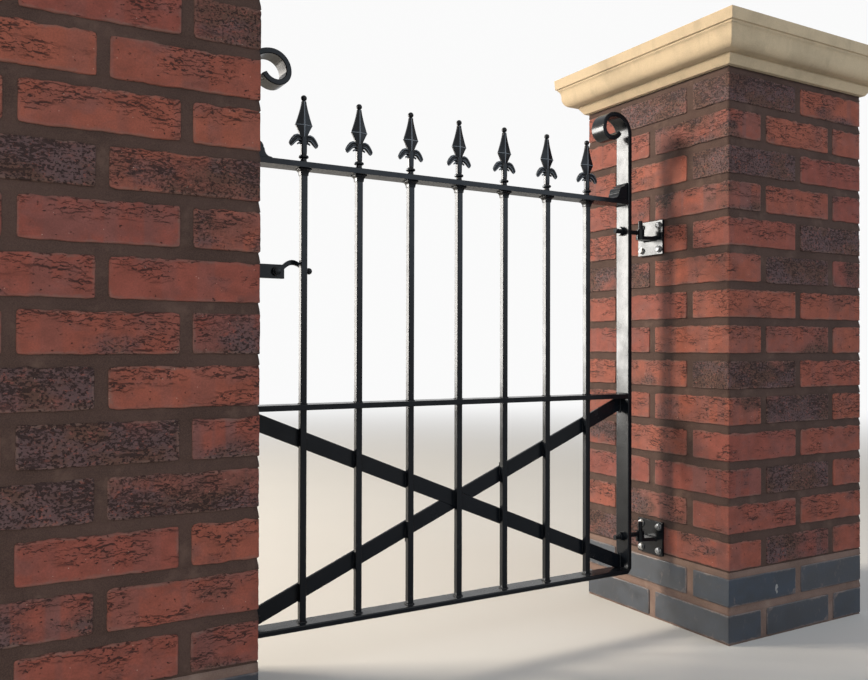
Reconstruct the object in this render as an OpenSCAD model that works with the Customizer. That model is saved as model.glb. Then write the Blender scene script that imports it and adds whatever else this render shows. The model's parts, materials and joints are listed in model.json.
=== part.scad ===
// Single-leaf wrought iron entrance gate hung between two brick piers.
// X runs across the opening with the hinges at +X, Y runs into the property, Z is up.
// The origin is on the ground, half way between the piers and at the middle of their depth.

/* [Piers] */
// Clear width between the two piers
opening_w = 1000; // [900:10:1400]
// Side of the square pier
pier_w = 440; // [330:5:660]
// Height of one brick course with its joint
course_h = 75; // [65:1:100]
// Courses of red facing brick
red_courses = 14; // [12:1:22]
// Courses of blue engineering brick at the foot
blue_courses = 2; // [1:1:3]

/* [Pier caps] */
// Overhang of the cap's widest edge past the brickwork
cap_overhang = 62; // [50:1:90]
// How far the top fascia leans out over its height
cap_lean = 2; // [0:0.5:4]
// Height of the top fascia
cap_fascia_h = 24; // [15:1:50]
// Step between the moulding and the top fascia
cap_step = 4; // [2:0.5:6]
// Reach of the hollow curve under the fascia
cap_hollow_w = 7; // [4:0.5:9]
// Height of the hollow curve under the fascia
cap_hollow_h = 18; // [10:1:30]
// Height of the bulging curve
cap_bulge_h = 24; // [14:1:40]
// Width of the flat underside behind the bulge
cap_quirk = 11; // [5:0.5:12]
// Height of the narrow fillet under the quirk
cap_fillet = 3; // [2:0.5:8]
// How far the bottom band flares out over its height
cap_flare = 12; // [4:1:13]
// Height of the flared bottom band
cap_base_h = 18; // [12:1:40]
// Overhang of the cap's underside past the brickwork
cap_base_overhang = 8; // [2:1:9]
// Rise of the weathered top to its middle
cap_rise = 18; // [5:1:60]

/* [Gate frame] */
// Gap between the hinge stile and its pier
hinge_side_gap = 80; // [70:1:110]
// Gap between the latch stile and its pier
latch_side_gap = 40; // [32:1:60]
// Width of the flat bar, across the gate's depth
frame_d = 40; // [30:1:60]
// Thickness of the flat bar
frame_t = 10; // [6:0.5:12]
// Ground to the underside of the bottom rail
ground_gap = 114; // [60:1:160]
// Ground to the underside of the middle rail
middle_rail_z = 502; // [450:1:620]
// Ground to the underside of the top rail
top_rail_z = 932; // [860:1:1050]

/* [Scrolls] */
// Top of the scroll above the top rail
scroll_rise = 191; // [160:1:240]
// Outer radius of the scroll where it leaves the stile
scroll_r1 = 46; // [42:1:55]
// Outer radius from the crown to the front of the scroll
scroll_r2 = 37; // [32:1:41]
// Outer radius from the front to the underside
scroll_r3 = 26; // [22:1:30]
// Outer radius of the curled end
scroll_r4 = 32; // [26:1:36]
// Angle that the curled end turns through
scroll_tail = 62; // [40:1:75]

/* [Bars] */
// Number of upright bars
bar_count = 7; // [5:1:9]
// Side of the square bar
bar_w = 12; // [10:0.5:16]
// Gap all round a bar in its punched hole
hole_play = 0.25; // [0.15:0.05:0.5]
// Width of the bell collar under the top rail
collar_w = 23; // [20:0.5:30]
// Height of the bell collar
collar_h = 12; // [8:0.5:20]

/* [Railheads] */
// Height of a railhead above the top rail
head_h = 123; // [110:1:150]
// Width of the spear at its shoulders
spear_w = 32; // [24:0.5:40]
// Shoulders of the spear above the top rail
spear_shoulder_z = 69; // [62:0.5:80]
// Lowest point of the spear above the top rail
spear_foot_z = 42; // [38:0.5:46]
// Thickness of the spear at its side edges
spear_edge_t = 4.6; // [3:0.1:7]
// Thickness of the spear at its middle ridge
spear_ridge_t = 8; // [7:0.1:12]
// Width of the neck below the ball
neck_w = 8; // [6:0.1:9.5]
// Diameter of the ball on the tip
ball_d = 11; // [9.5:0.1:14]
// Width of the square stem
stem_w = 10.8; // [9:0.1:12]
// Depth of the square stem
stem_d = 9.4; // [8.5:0.1:12]
// Reach of one drooping leaf from the middle of the stem
leaf_reach = 29; // [24:0.5:34]
// Thickness of a leaf
leaf_t = 8; // [5:0.1:9]
// Width of the vein down the middle of a leaf
vein_w = 1.8; // [1:0.1:3]
// Depth of the vein in each face of a leaf
vein_depth = 1.4; // [0.5:0.1:2]
// Diameter of the turned ring
ring_d = 18.5; // [16:0.1:24]
// Diameter of the foot on the rail
foot_d = 18; // [14:0.1:24]

/* [Braces] */
// Width of the diagonal flat bar
brace_w = 30; // [18:0.5:35]
// Thickness of the diagonal flat bar
brace_t = 6; // [4:0.5:8]
// Height of a brace's middle line above or below the rail where it meets the stile
brace_inset = 11; // [8:0.5:40]

/* [Corner brackets] */
// Reach of the bracket along the top rail
bracket_w = 38; // [25:1:45]
// Height of the bracket up the stile
bracket_h = 38; // [30:1:50]
// Depth of the bracket
bracket_d = 34; // [20:1:38]

/* [Hinges] */
// Hinge pin's middle line to the pier
pin_gap = 36; // [32:0.5:44]
// Diameter of the hinge pin
pin_d = 10; // [8:0.5:14]
// Gap all round the pin in its eye
pin_play = 0.06; // [0.02:0.01:0.1]
// Outer diameter of the eye
eye_d = 18; // [16:0.5:26]
// Height of the eye
eye_h = 15; // [12:0.5:24]
// Diameter of the eye bolt's threaded rod
rod_d = 10; // [8:0.5:12]
// Length of rod that stands past the stile, inside the gate
rod_end = 22; // [16:0.5:40]
// Across the flats of the hexagon nuts
nut_af = 17; // [15:0.5:22]
// Thickness of a hexagon nut
nut_h = 8; // [5:0.5:12]
// Diameter of a washer
washer_d = 21; // [18:0.5:26]
// Thickness of a washer
washer_t = 1.6; // [1:0.1:3]
// Upper eye bolt below the top rail
upper_hinge_drop = 58; // [45:1:150]
// Lower eye bolt above the bottom rail
lower_hinge_rise = 70; // [62:1:150]
// Side of the square hinge plate
plate_w = 76; // [60:1:110]
// Thickness of the hinge plate
plate_t = 6; // [4:0.5:8]
// Diameter of the four fixing holes in a hinge plate
plate_hole_d = 11; // [8:0.5:13]
// Middle of a fixing hole from the plate's edge
plate_hole_inset = 11; // [9:0.5:12]
// Middle of the hinge plate below the eye bolt
plate_drop = 10; // [4:0.5:16]
// Thickness of the arm that carries the pin
arm_t = 8; // [6:0.5:12]
// Width of the arm where it meets the plate
arm_w = 40; // [26:1:58]
// Height of the pin above the eye
pin_stand = 20; // [8:0.5:30]
// Gap between the eye and the arm below it
eye_rest = 0.3; // [0.2:0.1:1]

/* [Latch] */
// Height of the latch pivot above the ground
latch_z = 748; // [640:1:820]
// Latch pivot from the inner face of the latch stile
pivot_x = 57; // [50:1:70]
// Height of the latch plate
latch_plate_h = 25; // [20:0.5:32]
// Thickness of the latch plate
latch_plate_t = 8; // [5:0.5:9]
// Length of plate past the pivot
latch_plate_end = 15; // [12:0.5:20]
// Diameter of the pivot pin
pivot_d = 10; // [8:0.5:12]
// Diameter of the pivot pin's round head
pivot_head_d = 17; // [14:0.5:20]
// Thickness of the pivot pin's heads
pivot_head_t = 5; // [3:0.5:7]
// Height of the latch bar
lever_h = 22; // [16:0.5:26]
// Thickness of the latch bar
lever_t = 6; // [4:0.5:8]
// Gap between the latch bar and the plate
lever_play = 0.4; // [0.3:0.1:1]
// Length of latch bar that stands past the latch stile
nose_reach = 26; // [18:0.5:27]
// Rise of the handle's crown above the pivot
handle_rise = 17; // [14:0.5:24]
// Pivot to the middle of the ball end
handle_reach = 66; // [58:0.5:80]
// Diameter of the handle's ball
handle_ball_d = 12; // [10:0.5:18]
// Thickness of the catch's wall plate
catch_plate_t = 6; // [4:0.5:8]
// How far the catch stands out from its wall plate
catch_reach = 14; // [12:0.5:18]
// Width of the notch beyond the latch bar, on each side
notch_play = 2; // [1:0.5:4]
// Height of the catch's horns above the bottom of its notch
horn_h = 13; // [8:0.5:16]

/* [Hidden] */
$fn = 48;
arc_steps = 8;

BARS = [for (i = [1:bar_count]) i];

pier_x = (opening_w + pier_w) / 2;
pier_h = (red_courses + blue_courses) * course_h;
plinth_h = blue_courses * course_h;
red_brick = [0.62, 0.33, 0.25];
blue_brick = [0.36, 0.38, 0.45];
cast_stone = [0.80, 0.74, 0.62];
black_paint = [0.09, 0.09, 0.10];

latch_x = -opening_w / 2 + latch_side_gap;
hinge_x = opening_w / 2 - hinge_side_gap;
inner_x0 = latch_x + frame_t;
inner_x1 = hinge_x - frame_t;
inner_w = inner_x1 - inner_x0;
bar_pitch = (inner_w + bar_w) / (bar_count + 1);
bottom_rail_top = ground_gap + frame_t;
top_rail_top = top_rail_z + frame_t;
brace_y = bar_w / 2;
panel_h = middle_rail_z - bottom_rail_top;

pin_x = opening_w / 2 - pin_gap;
upper_rod_z = top_rail_z - upper_hinge_drop;
lower_rod_z = bottom_rail_top + lower_hinge_rise;

lever_y = frame_d / 2 + lever_play;
pivot_pos_x = inner_x0 + pivot_x;
lever_mid_y = lever_y + lever_t / 2;
nose_x = latch_x - nose_reach;

function bar_x(i) = inner_x0 - bar_w / 2 + i * bar_pitch;

// Piers

module pier_block(side, z0, z1) {
    translate([side * pier_x - pier_w / 2, -pier_w / 2, z0])
        cube([pier_w, pier_w, z1 - z0]);
}

module pier_brickwork(side) {
    color(red_brick) pier_block(side, plinth_h, pier_h);
}

module pier_plinth(side) {
    color(blue_brick) pier_block(side, 0, plinth_h);
}

cap_face = pier_w / 2 + cap_overhang;
cap_base = pier_w / 2 + cap_base_overhang;
cap_band_x = cap_base + cap_flare;
cap_bulge_x = cap_band_x + cap_quirk;
cap_bulge_z = cap_base_h + cap_fillet;
cap_hollow_x = cap_face - cap_lean - cap_step - cap_hollow_w;
cap_hollow_z = cap_bulge_z + cap_bulge_h;
cap_fascia_z = cap_hollow_z + cap_hollow_h + cap_step;
cap_top_z = cap_fascia_z + cap_fascia_h;

// Outline of the cap's right side, from the brickwork up: band, quirk, bulge, hollow, fascia
function cap_side() = concat(
    [[cap_base, 0], [cap_band_x, cap_base_h], [cap_band_x, cap_bulge_z]],
    [for (i = [0:arc_steps]) let (a = 90 * i / arc_steps)
        [cap_bulge_x + (cap_hollow_x - cap_bulge_x) * sin(a), cap_bulge_z + cap_bulge_h * (1 - cos(a))]],
    [for (i = [1:arc_steps]) let (a = 90 * i / arc_steps)
        [cap_hollow_x + cap_hollow_w * (1 - cos(a)), cap_hollow_z + cap_hollow_h * sin(a)]],
    [[cap_face - cap_lean - cap_step, cap_fascia_z], [cap_face - cap_lean, cap_fascia_z]],
    [[cap_face, cap_top_z]]
);

module cap_run() {
    side = cap_side();
    other = [for (i = [len(side) - 1:-1:0]) [-side[i][0], side[i][1]]];
    rotate([90, 0, 0])
        linear_extrude(height = 2 * cap_face, center = true)
            polygon(concat(side, [[0, cap_top_z + cap_rise]], other));
}

module pier_cap(side) {
    color(cast_stone)
        translate([side * pier_x, 0, pier_h])
            intersection() {
                cap_run();
                rotate([0, 0, 90]) cap_run();
            }
}

// Gate frame

// Part of a flat bar bent to an outer radius r, drawn in the XZ plane
module bent_bar(cx, cz, r, from, to) {
    translate([cx, 0, cz])
        rotate([90, 0, 0])
            rotate_extrude(angle = to - from, start = from)
                translate([r - frame_t, -frame_d / 2])
                    square([frame_t, frame_d]);
}

// Stile with its outer face at x = 0 and its scroll curling towards +X
module stile() {
    z1 = top_rail_top + scroll_rise - scroll_r1;
    z2 = z1 + scroll_r1 - scroll_r2;
    x3 = scroll_r1 + scroll_r2 - scroll_r3;
    z4 = z2 - scroll_r3 + scroll_r4;
    union() {
        translate([0, -frame_d / 2, bottom_rail_top])
            cube([frame_t, frame_d, z1 - bottom_rail_top]);
        bent_bar(scroll_r1, z1, scroll_r1, 90, 180);
        bent_bar(scroll_r1, z2, scroll_r2, 0, 90);
        bent_bar(x3, z2, scroll_r3, -90, 0);
        bent_bar(x3, z4, scroll_r4, -90 - scroll_tail, -90);
    }
}

module latch_stile() {
    color(black_paint) translate([latch_x, 0, 0]) stile();
}

module hinge_stile() {
    color(black_paint)
        difference() {
            translate([hinge_x, 0, 0]) mirror([1, 0, 0]) stile();
            for (z = [upper_rod_z, lower_rod_z])
                translate([inner_x1 - 1, 0, z])
                    rotate([0, 90, 0])
                        cylinder(d = rod_d + 2 * hole_play, h = frame_t + 2);
        }
}

module punched_rail(z) {
    hole_w = bar_w + 2 * hole_play;
    color(black_paint)
        difference() {
            translate([inner_x0, -frame_d / 2, z])
                cube([inner_w, frame_d, frame_t]);
            for (i = BARS)
                translate([bar_x(i) - hole_w / 2, -hole_w / 2, z - 1])
                    cube([hole_w, hole_w, frame_t + 2]);
        }
}

module top_rail() {
    punched_rail(top_rail_z);
}

module middle_rail() {
    punched_rail(middle_rail_z);
}

// The bottom rail runs under both stiles, with its corners cut at 45 degrees
module bottom_rail() {
    color(black_paint)
        rotate([90, 0, 0])
            linear_extrude(height = frame_d, center = true)
                polygon([
                    [inner_x0, ground_gap],
                    [inner_x1, ground_gap],
                    [hinge_x, bottom_rail_top],
                    [latch_x, bottom_rail_top]
                ]);
}

module bar(i) {
    color(black_paint)
        translate([bar_x(i) - bar_w / 2, -bar_w / 2, bottom_rail_top])
            cube([bar_w, bar_w, top_rail_top - bottom_rail_top]);
}

// Square bell round a bar, drawn as one side's outline
module bell_run() {
    thin = bar_w / 2 + hole_play + 0.8;
    wide = collar_w / 2;
    flare = [for (i = [0:arc_steps]) let (a = 90 * i / arc_steps)
        [thin + (wide - thin) * (1 - cos(a)), -collar_h + (collar_h - 2) * sin(a)]];
    right = concat(flare, [[wide, 0]]);
    left = [for (i = [len(right) - 1:-1:0]) [-right[i][0], right[i][1]]];
    rotate([90, 0, 0])
        linear_extrude(height = collar_w, center = true)
            polygon(concat(right, left));
}

module rail_collars() {
    hole_w = bar_w + 2 * hole_play;
    color(black_paint)
        for (i = BARS)
            translate([bar_x(i), 0, top_rail_z])
                difference() {
                    intersection() {
                        bell_run();
                        rotate([0, 0, 90]) bell_run();
                    }
                    translate([-hole_w / 2, -hole_w / 2, -collar_h - 1])
                        cube([hole_w, hole_w, collar_h + 2]);
                }
}

// Railheads

// Six-sided section of the spear: height, half width, half edge and half ridge thickness
function spear_ring(s) = [
    [-s[1], -s[2], s[0]], [0, -s[3], s[0]], [s[1], -s[2], s[0]],
    [s[1], s[2], s[0]], [0, s[3], s[0]], [-s[1], s[2], s[0]]
];

module spear() {
    neck_z = head_h - ball_d + 1;
    steps = 6;
    lower = [for (i = [0:steps - 1]) let (u = i / steps)
        [spear_foot_z + (spear_shoulder_z - spear_foot_z) * u,
         stem_w / 2 + (spear_w - stem_w) / 2 * pow(u, 1.25),
         (stem_d - (stem_d - spear_edge_t) * u) / 2 - 0.6 * (1 - u),
         (stem_d - (stem_d - spear_ridge_t) * u) / 2]];
    upper = [for (i = [0:steps]) let (u = i / steps)
        [spear_shoulder_z + (neck_z - spear_shoulder_z) * u,
         neck_w / 2 + (spear_w - neck_w) / 2 * pow(1 - u, 1.3),
         spear_edge_t / 2,
         spear_ridge_t / 2]];
    rings = concat(lower, upper);
    last = 6 * (len(rings) - 1);
    sides = [for (r = [0:len(rings) - 2]) for (j = [0:5])
        let (a = 6 * r + j, b = 6 * r + (j + 1) % 6)
        each [[a, a + 6, b + 6], [a, b + 6, b]]];
    polyhedron(
        points = [for (s = rings) each spear_ring(s)],
        faces = concat([[0, 1, 2, 3, 4, 5]], sides, [[for (j = [5:-1:0]) last + j]])
    );
}

// Front outline of one leaf, from the stem out over the crown to the tip and back
module leaf_outline() {
    r = leaf_reach;
    z = spear_foot_z;
    polygon([
        [0, z], [0.25 * r, z + 7], [0.36 * r, z + 9.4], [0.48 * r, z + 9.8],
        [0.60 * r, z + 8], [0.70 * r, z + 4], [0.80 * r, z - 1], [0.93 * r, z - 6.5],
        [r, z - 11], [0.96 * r, z - 14.2], [0.84 * r, z - 15], [0.66 * r, z - 14.2],
        [0.48 * r, z - 10.6], [0.28 * r, z - 6.6], [0, z - 6]
    ]);
}

// The vein follows the leaf over its crown and down to the tip
module vein_outline() {
    steps = 8;
    line = [for (i = [0:steps]) let (s = 0.2 + 0.68 * i / steps)
        [s * leaf_reach, spear_foot_z + 3.7 - 52 * pow(s - 0.34, 2)]];
    top = [for (q = line) q + [0, vein_w / 2]];
    low = [for (i = [steps:-1:0]) line[i] - [0, vein_w / 2]];
    polygon(concat(top, low));
}

module leaf() {
    rotate([90, 0, 0])
        difference() {
            linear_extrude(height = leaf_t, center = true) leaf_outline();
            for (side = [-1, 1])
                translate([0, 0, side * leaf_t / 2])
                    linear_extrude(height = 2 * vein_depth, center = true) vein_outline();
        }
}

module railhead_foot() {
    waist = stem_w / 2 + 0.2;
    rotate_extrude()
        polygon(concat(
            [[0, 0], [foot_d / 2, 0]],
            [for (i = [0:arc_steps]) let (a = 90 * i / arc_steps)
                [waist + (foot_d / 2 - waist) * (1 - sin(a)), 1.2 + 6.4 * (1 - cos(a))]],
            [[waist, 9.6], [ring_d / 2 - 1.2, 9.6], [ring_d / 2, 10.8], [ring_d / 2, 13.4]],
            [[ring_d / 2 - 1.2, 14.6], [waist - 0.4, 14.6], [waist - 0.4, 15.6], [0, 15.6]]
        ));
}

module railhead(i) {
    color(black_paint)
        translate([bar_x(i), 0, top_rail_top])
            union() {
                railhead_foot();
                translate([-stem_w / 2, -stem_d / 2, 14])
                    cube([stem_w, stem_d, spear_foot_z - 13]);
                leaf();
                mirror([1, 0, 0]) leaf();
                spear();
                translate([0, 0, head_h - ball_d / 2]) sphere(d = ball_d);
            }
}

// Braces

// Flat bar across the lower panel, falling towards +X when fall = 1
module brace_bar(fall, extra_w, y0, t) {
    half_rise = panel_h / 2 - brace_inset;
    angle = atan2(half_rise, inner_w / 2);
    translate([(inner_x0 + inner_x1) / 2, y0, bottom_rail_top + panel_h / 2])
        rotate([0, fall * angle, 0])
            translate([-inner_w, 0, -brace_w / 2 - extra_w])
                cube([2 * inner_w, t, brace_w + 2 * extra_w]);
}

module panel_space(x0, x1) {
    translate([x0, 0, bottom_rail_top])
        cube([x1 - x0, frame_d / 2, panel_h]);
}

module long_brace() {
    color(black_paint)
        intersection() {
            brace_bar(1, 0, brace_y, brace_t);
            panel_space(inner_x0, inner_x1);
        }
}

// The other diagonal is cut in two and butts against the long brace
module half_brace(x0, x1) {
    color(black_paint)
        difference() {
            intersection() {
                brace_bar(-1, 0, brace_y, brace_t);
                panel_space(x0, x1);
            }
            brace_bar(1, 0, brace_y - 1, brace_t + 2);
        }
}

module upper_half_brace() {
    half_brace((inner_x0 + inner_x1) / 2, inner_x1);
}

module lower_half_brace() {
    half_brace(inner_x0, (inner_x0 + inner_x1) / 2);
}

// Corner bracket with a stepped ogee face, standing on the rail at x = 0
module bracket() {
    w = bracket_w;
    h = bracket_h;
    rotate([90, 0, 0])
        linear_extrude(height = bracket_d, center = true)
            polygon(concat(
                [[0, 0], [w, 0], [w, 2.5]],
                [for (i = [0:arc_steps]) let (a = 90 * i / arc_steps)
                    [w - 2 - (w * 0.28) * sin(a), 2.5 + h * 0.34 * (1 - cos(a))]],
                [for (i = [0:arc_steps]) let (a = 90 * i / arc_steps)
                    [w * 0.62 - (w * 0.36) * (1 - cos(a)), h * 0.46 + h * 0.32 * sin(a)]],
                [[w * 0.26, h * 0.84], [w * 0.12, h * 0.92], [w * 0.06, h], [0, h]]
            ));
}

module latch_side_bracket() {
    color(black_paint) translate([inner_x0, 0, top_rail_top]) bracket();
}

module hinge_side_bracket() {
    color(black_paint) translate([inner_x1, 0, top_rail_top]) mirror([1, 0, 0]) bracket();
}

// Hinges

module hinge_plate(rod_z) {
    arm_top = rod_z - eye_h / 2 - eye_rest;
    plate_x = opening_w / 2 - plate_t;
    hole_at = plate_w / 2 - plate_hole_inset;
    color(black_paint)
        difference() {
            union() {
                translate([plate_x, -plate_w / 2, rod_z - plate_drop - plate_w / 2])
                    cube([plate_t, plate_w, plate_w]);
                translate([0, 0, arm_top - arm_t])
                    linear_extrude(height = arm_t)
                        polygon([
                            [pin_x, -eye_d / 2 - 1],
                            [plate_x + 1, -arm_w / 2],
                            [plate_x + 1, arm_w / 2],
                            [pin_x, eye_d / 2 + 1]
                        ]);
                translate([pin_x, 0, arm_top - arm_t])
                    cylinder(d = eye_d + 2, h = arm_t);
            }
            translate([pin_x, 0, arm_top - arm_t - 1])
                cylinder(d = pin_d + 2 * hole_play, h = arm_t + 2);
            for (y = [-hole_at, hole_at])
                for (z = [-hole_at, hole_at])
                    translate([plate_x - 1, y, rod_z - plate_drop + z])
                        rotate([0, 90, 0]) cylinder(d = plate_hole_d, h = plate_t + 2);
        }
}

module hinge_pin(rod_z) {
    foot_z = rod_z - eye_h / 2 - eye_rest - arm_t;
    pin_len = arm_t + eye_rest + eye_h + pin_stand;
    color(black_paint)
        translate([pin_x, 0, foot_z])
            union() {
                cylinder(d = pin_d, h = pin_len - 1);
                translate([0, 0, pin_len - 1]) cylinder(d1 = pin_d, d2 = pin_d - 2, h = 1);
            }
}

module eye_bolt(rod_z) {
    rod_len = pin_x - (inner_x1 - rod_end);
    color(black_paint)
        translate([pin_x, 0, rod_z])
            difference() {
                union() {
                    translate([0, 0, -eye_h / 2]) cylinder(d = eye_d, h = eye_h);
                    rotate([0, -90, 0]) cylinder(d = rod_d, h = rod_len);
                }
                translate([0, 0, -eye_h / 2 - 1])
                    cylinder(d = pin_d + 2 * pin_play, h = eye_h + 2);
            }
}

module nut_and_washer() {
    difference() {
        union() {
            cylinder(d = washer_d, h = washer_t);
            translate([0, 0, washer_t]) cylinder(d = nut_af / cos(30), h = nut_h, $fn = 6);
        }
        translate([0, 0, -1]) cylinder(d = rod_d + 0.1, h = nut_h + washer_t + 2);
    }
}

module eye_nuts(rod_z) {
    color(black_paint) {
        translate([hinge_x, 0, rod_z]) rotate([0, 90, 0]) nut_and_washer();
        translate([inner_x1, 0, rod_z]) rotate([0, -90, 0]) nut_and_washer();
    }
}

// Latch

module latch_plate() {
    color(black_paint)
        difference() {
            translate([inner_x0, frame_d / 2 - latch_plate_t, latch_z - latch_plate_h / 2])
                cube([pivot_x + latch_plate_end, latch_plate_t, latch_plate_h]);
            translate([pivot_pos_x, 0, latch_z])
                rotate([-90, 0, 0]) cylinder(d = pivot_d + 0.2, h = frame_d);
        }
}

module latch_pivot() {
    front = frame_d / 2 - latch_plate_t;
    back = lever_y + lever_t + lever_play;
    color(black_paint)
        translate([pivot_pos_x, 0, latch_z])
            rotate([-90, 0, 0])
                union() {
                    translate([0, 0, front - pivot_head_t]) cylinder(d = pivot_head_d, h = pivot_head_t);
                    translate([0, 0, front - 0.5]) cylinder(d = pivot_d, h = back - front + 1);
                    translate([0, 0, back]) cylinder(d = pivot_head_d - 2, h = pivot_head_t - 1);
                }
}

// Handle: a bar that arches up from the pivot and down to its ball, drawn round the pivot
function handle_line(u) = [
    10 + (handle_reach - 14) * u,
    handle_rise * sin(180 * pow(u, 0.85)) + 3 * u
];

function handle_half(u) = 5.5 - 2.2 * u;

module handle_outline() {
    steps = 14;
    top = [for (i = [0:steps]) let (u = i / steps) handle_line(u) + [0, handle_half(u)]];
    low = [for (i = [steps:-1:0]) let (u = i / steps) handle_line(u) - [0, handle_half(u)]];
    polygon(concat(top, low));
}

module latch_lever() {
    nose = pivot_pos_x - nose_x;
    color(black_paint)
        translate([pivot_pos_x, lever_y, latch_z])
            difference() {
                union() {
                    translate([-nose, 0, -lever_h / 2]) cube([nose, lever_t, lever_h]);
                    rotate([-90, 0, 0]) cylinder(d = lever_h, h = lever_t);
                    translate([0, lever_t, 0])
                        rotate([90, 0, 0]) linear_extrude(height = lever_t) handle_outline();
                    translate([handle_reach, lever_t / 2, 4]) sphere(d = handle_ball_d);
                }
                translate([0, -1, 0])
                    rotate([-90, 0, 0]) cylinder(d = pivot_d + 0.2, h = lever_t + 2);
            }
}

// Catch on the latch side pier: a wall plate with a notched bracket that the bar drops into
module latch_catch() {
    notch_w = lever_t / 2 + notch_play;
    notch_z = latch_z - lever_h / 2 - 0.3;
    wall_x = -opening_w / 2;
    horn_z = notch_z + horn_h;
    color(black_paint)
        union() {
            translate([wall_x, lever_mid_y - 28, notch_z - 30])
                cube([catch_plate_t, 56, 64]);
            translate([wall_x + catch_plate_t - 1, lever_mid_y, 0])
                rotate([90, 0, 90])
                    linear_extrude(height = catch_reach + 1)
                        polygon([
                            [-26, notch_z - 14], [-notch_w - 5, horn_z], [-notch_w, horn_z],
                            [-notch_w, notch_z], [notch_w, notch_z], [notch_w, horn_z],
                            [notch_w + 5, horn_z], [26, notch_z - 14]
                        ]);
        }
}

pier_brickwork(-1);  // left_pier_brickwork
pier_brickwork(1);  // right_pier_brickwork
pier_plinth(-1);  // left_pier_plinth
pier_plinth(1);  // right_pier_plinth
pier_cap(-1);  // left_pier_cap
pier_cap(1);  // right_pier_cap
hinge_plate(upper_rod_z);  // upper_hinge_plate
hinge_plate(lower_rod_z);  // lower_hinge_plate
hinge_pin(upper_rod_z);  // upper_hinge_pin
hinge_pin(lower_rod_z);  // lower_hinge_pin
latch_catch();
latch_stile();
hinge_stile();
top_rail();
middle_rail();
bottom_rail();
for (i = BARS) {
    bar(i);
    railhead(i);
}
rail_collars();
long_brace();
upper_half_brace();
lower_half_brace();
latch_side_bracket();
hinge_side_bracket();
eye_bolt(upper_rod_z);  // upper_eye_bolt
eye_bolt(lower_rod_z);  // lower_eye_bolt
eye_nuts(upper_rod_z);  // upper_eye_nuts
eye_nuts(lower_rod_z);  // lower_eye_nuts
latch_plate();
latch_pivot();
latch_lever();
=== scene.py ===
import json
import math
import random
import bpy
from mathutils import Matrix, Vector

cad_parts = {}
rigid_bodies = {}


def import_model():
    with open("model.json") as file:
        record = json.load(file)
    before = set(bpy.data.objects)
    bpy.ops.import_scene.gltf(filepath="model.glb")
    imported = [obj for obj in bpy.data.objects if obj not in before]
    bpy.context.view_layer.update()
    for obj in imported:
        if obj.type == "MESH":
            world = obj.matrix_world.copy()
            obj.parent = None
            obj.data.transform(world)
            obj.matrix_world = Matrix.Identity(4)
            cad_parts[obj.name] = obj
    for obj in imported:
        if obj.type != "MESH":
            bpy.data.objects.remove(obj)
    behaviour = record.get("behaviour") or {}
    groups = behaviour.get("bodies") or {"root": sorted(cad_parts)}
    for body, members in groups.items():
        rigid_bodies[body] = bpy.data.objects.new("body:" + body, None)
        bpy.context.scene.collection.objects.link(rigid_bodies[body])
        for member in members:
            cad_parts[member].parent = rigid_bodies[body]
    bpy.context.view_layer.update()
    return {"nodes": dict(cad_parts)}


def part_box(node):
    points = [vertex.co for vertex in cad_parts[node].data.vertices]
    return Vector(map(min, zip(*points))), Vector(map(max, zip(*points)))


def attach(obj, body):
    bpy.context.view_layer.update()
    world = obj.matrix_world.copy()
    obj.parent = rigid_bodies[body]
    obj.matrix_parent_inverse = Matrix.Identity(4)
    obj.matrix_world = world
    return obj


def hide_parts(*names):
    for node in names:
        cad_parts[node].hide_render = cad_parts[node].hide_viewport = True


bl_info = {
    "name": "Wrought iron gate and brick piers",
    "version": (1, 0, 0),
    "blender": (4, 5, 0),
    "location": "3D View > Sidebar > Gate",
    "description": "Lays the bricks, casts the caps and paints the ironwork of a single-leaf gate",
    "category": "Object",
}

import bmesh
import bpy
from bpy.props import FloatProperty, FloatVectorProperty, IntProperty, PointerProperty
from mathutils import Matrix, Vector, noise

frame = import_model()
MM = 0.001
QUARTER = math.pi / 2
CORNERS = [(-1, -1), (1, -1), (1, 1), (-1, 1)]
LEFT, RIGHT = -1, 1
SIDE_NAMES = {LEFT: "left", RIGHT: "right"}

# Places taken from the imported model
WALL_LOW, WALL_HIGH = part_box("right_pier_brickwork")
PIER_HALF = (WALL_HIGH.x - WALL_LOW.x) / 2
PIER_X = (WALL_HIGH.x + WALL_LOW.x) / 2
PIER_TOP = WALL_HIGH.z
PLINTH_TOP = WALL_LOW.z
TOP_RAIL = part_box("top_rail")
MIDDLE_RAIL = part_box("middle_rail")
BOTTOM_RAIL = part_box("bottom_rail")
BAR_BOXES = [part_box(f"bar_{i}") for i in range(1, 8)]
BAR_HALF = (BAR_BOXES[0][1].x - BAR_BOXES[0][0].x) / 2
BAR_XS = [(low.x + high.x) / 2 for low, high in BAR_BOXES]
FRAME_BAR = TOP_RAIL[1].z - TOP_RAIL[0].z
SCROLL_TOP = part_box("latch_stile")[1].z
HEAD_TALL = (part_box("railhead_1")[1].z - TOP_RAIL[1].z) / MM

# Harder fired, darker bricks: course from the top and place round the pier
DARK_BRICKS = {
    LEFT: {(1, "front_right"): 0.6, (4, "front_left"): 0.9, (4, "front_right"): 0.28,
           (5, "front_right"): 0.36, (7, "front_right"): 0.6, (8, "front_left"): 0.95,
           (9, "front"): 0.9, (9, "front_right"): 0.48, (10, "front_left"): 0.9,
           (10, "front_right"): 0.65, (12, "front_left"): 0.5, (13, "front_right"): 0.35},
    RIGHT: {(0, "front_left"): 1.0, (1, "front_left"): 0.6, (2, "front_left"): 1.0,
            (3, "front_left"): 0.5, (4, "front_right"): 0.95, (5, "front"): 0.9,
            (8, "front_left"): 0.9, (9, "front"): 0.85, (11, "front"): 0.95,
            (13, "front"): 0.6, (0, "left"): 0.75, (1, "left"): 0.6, (3, "left"): 0.7,
            (2, "back_left"): 0.4, (12, "left"): 0.7, (10, "back_left"): 0.5},
}

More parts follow.
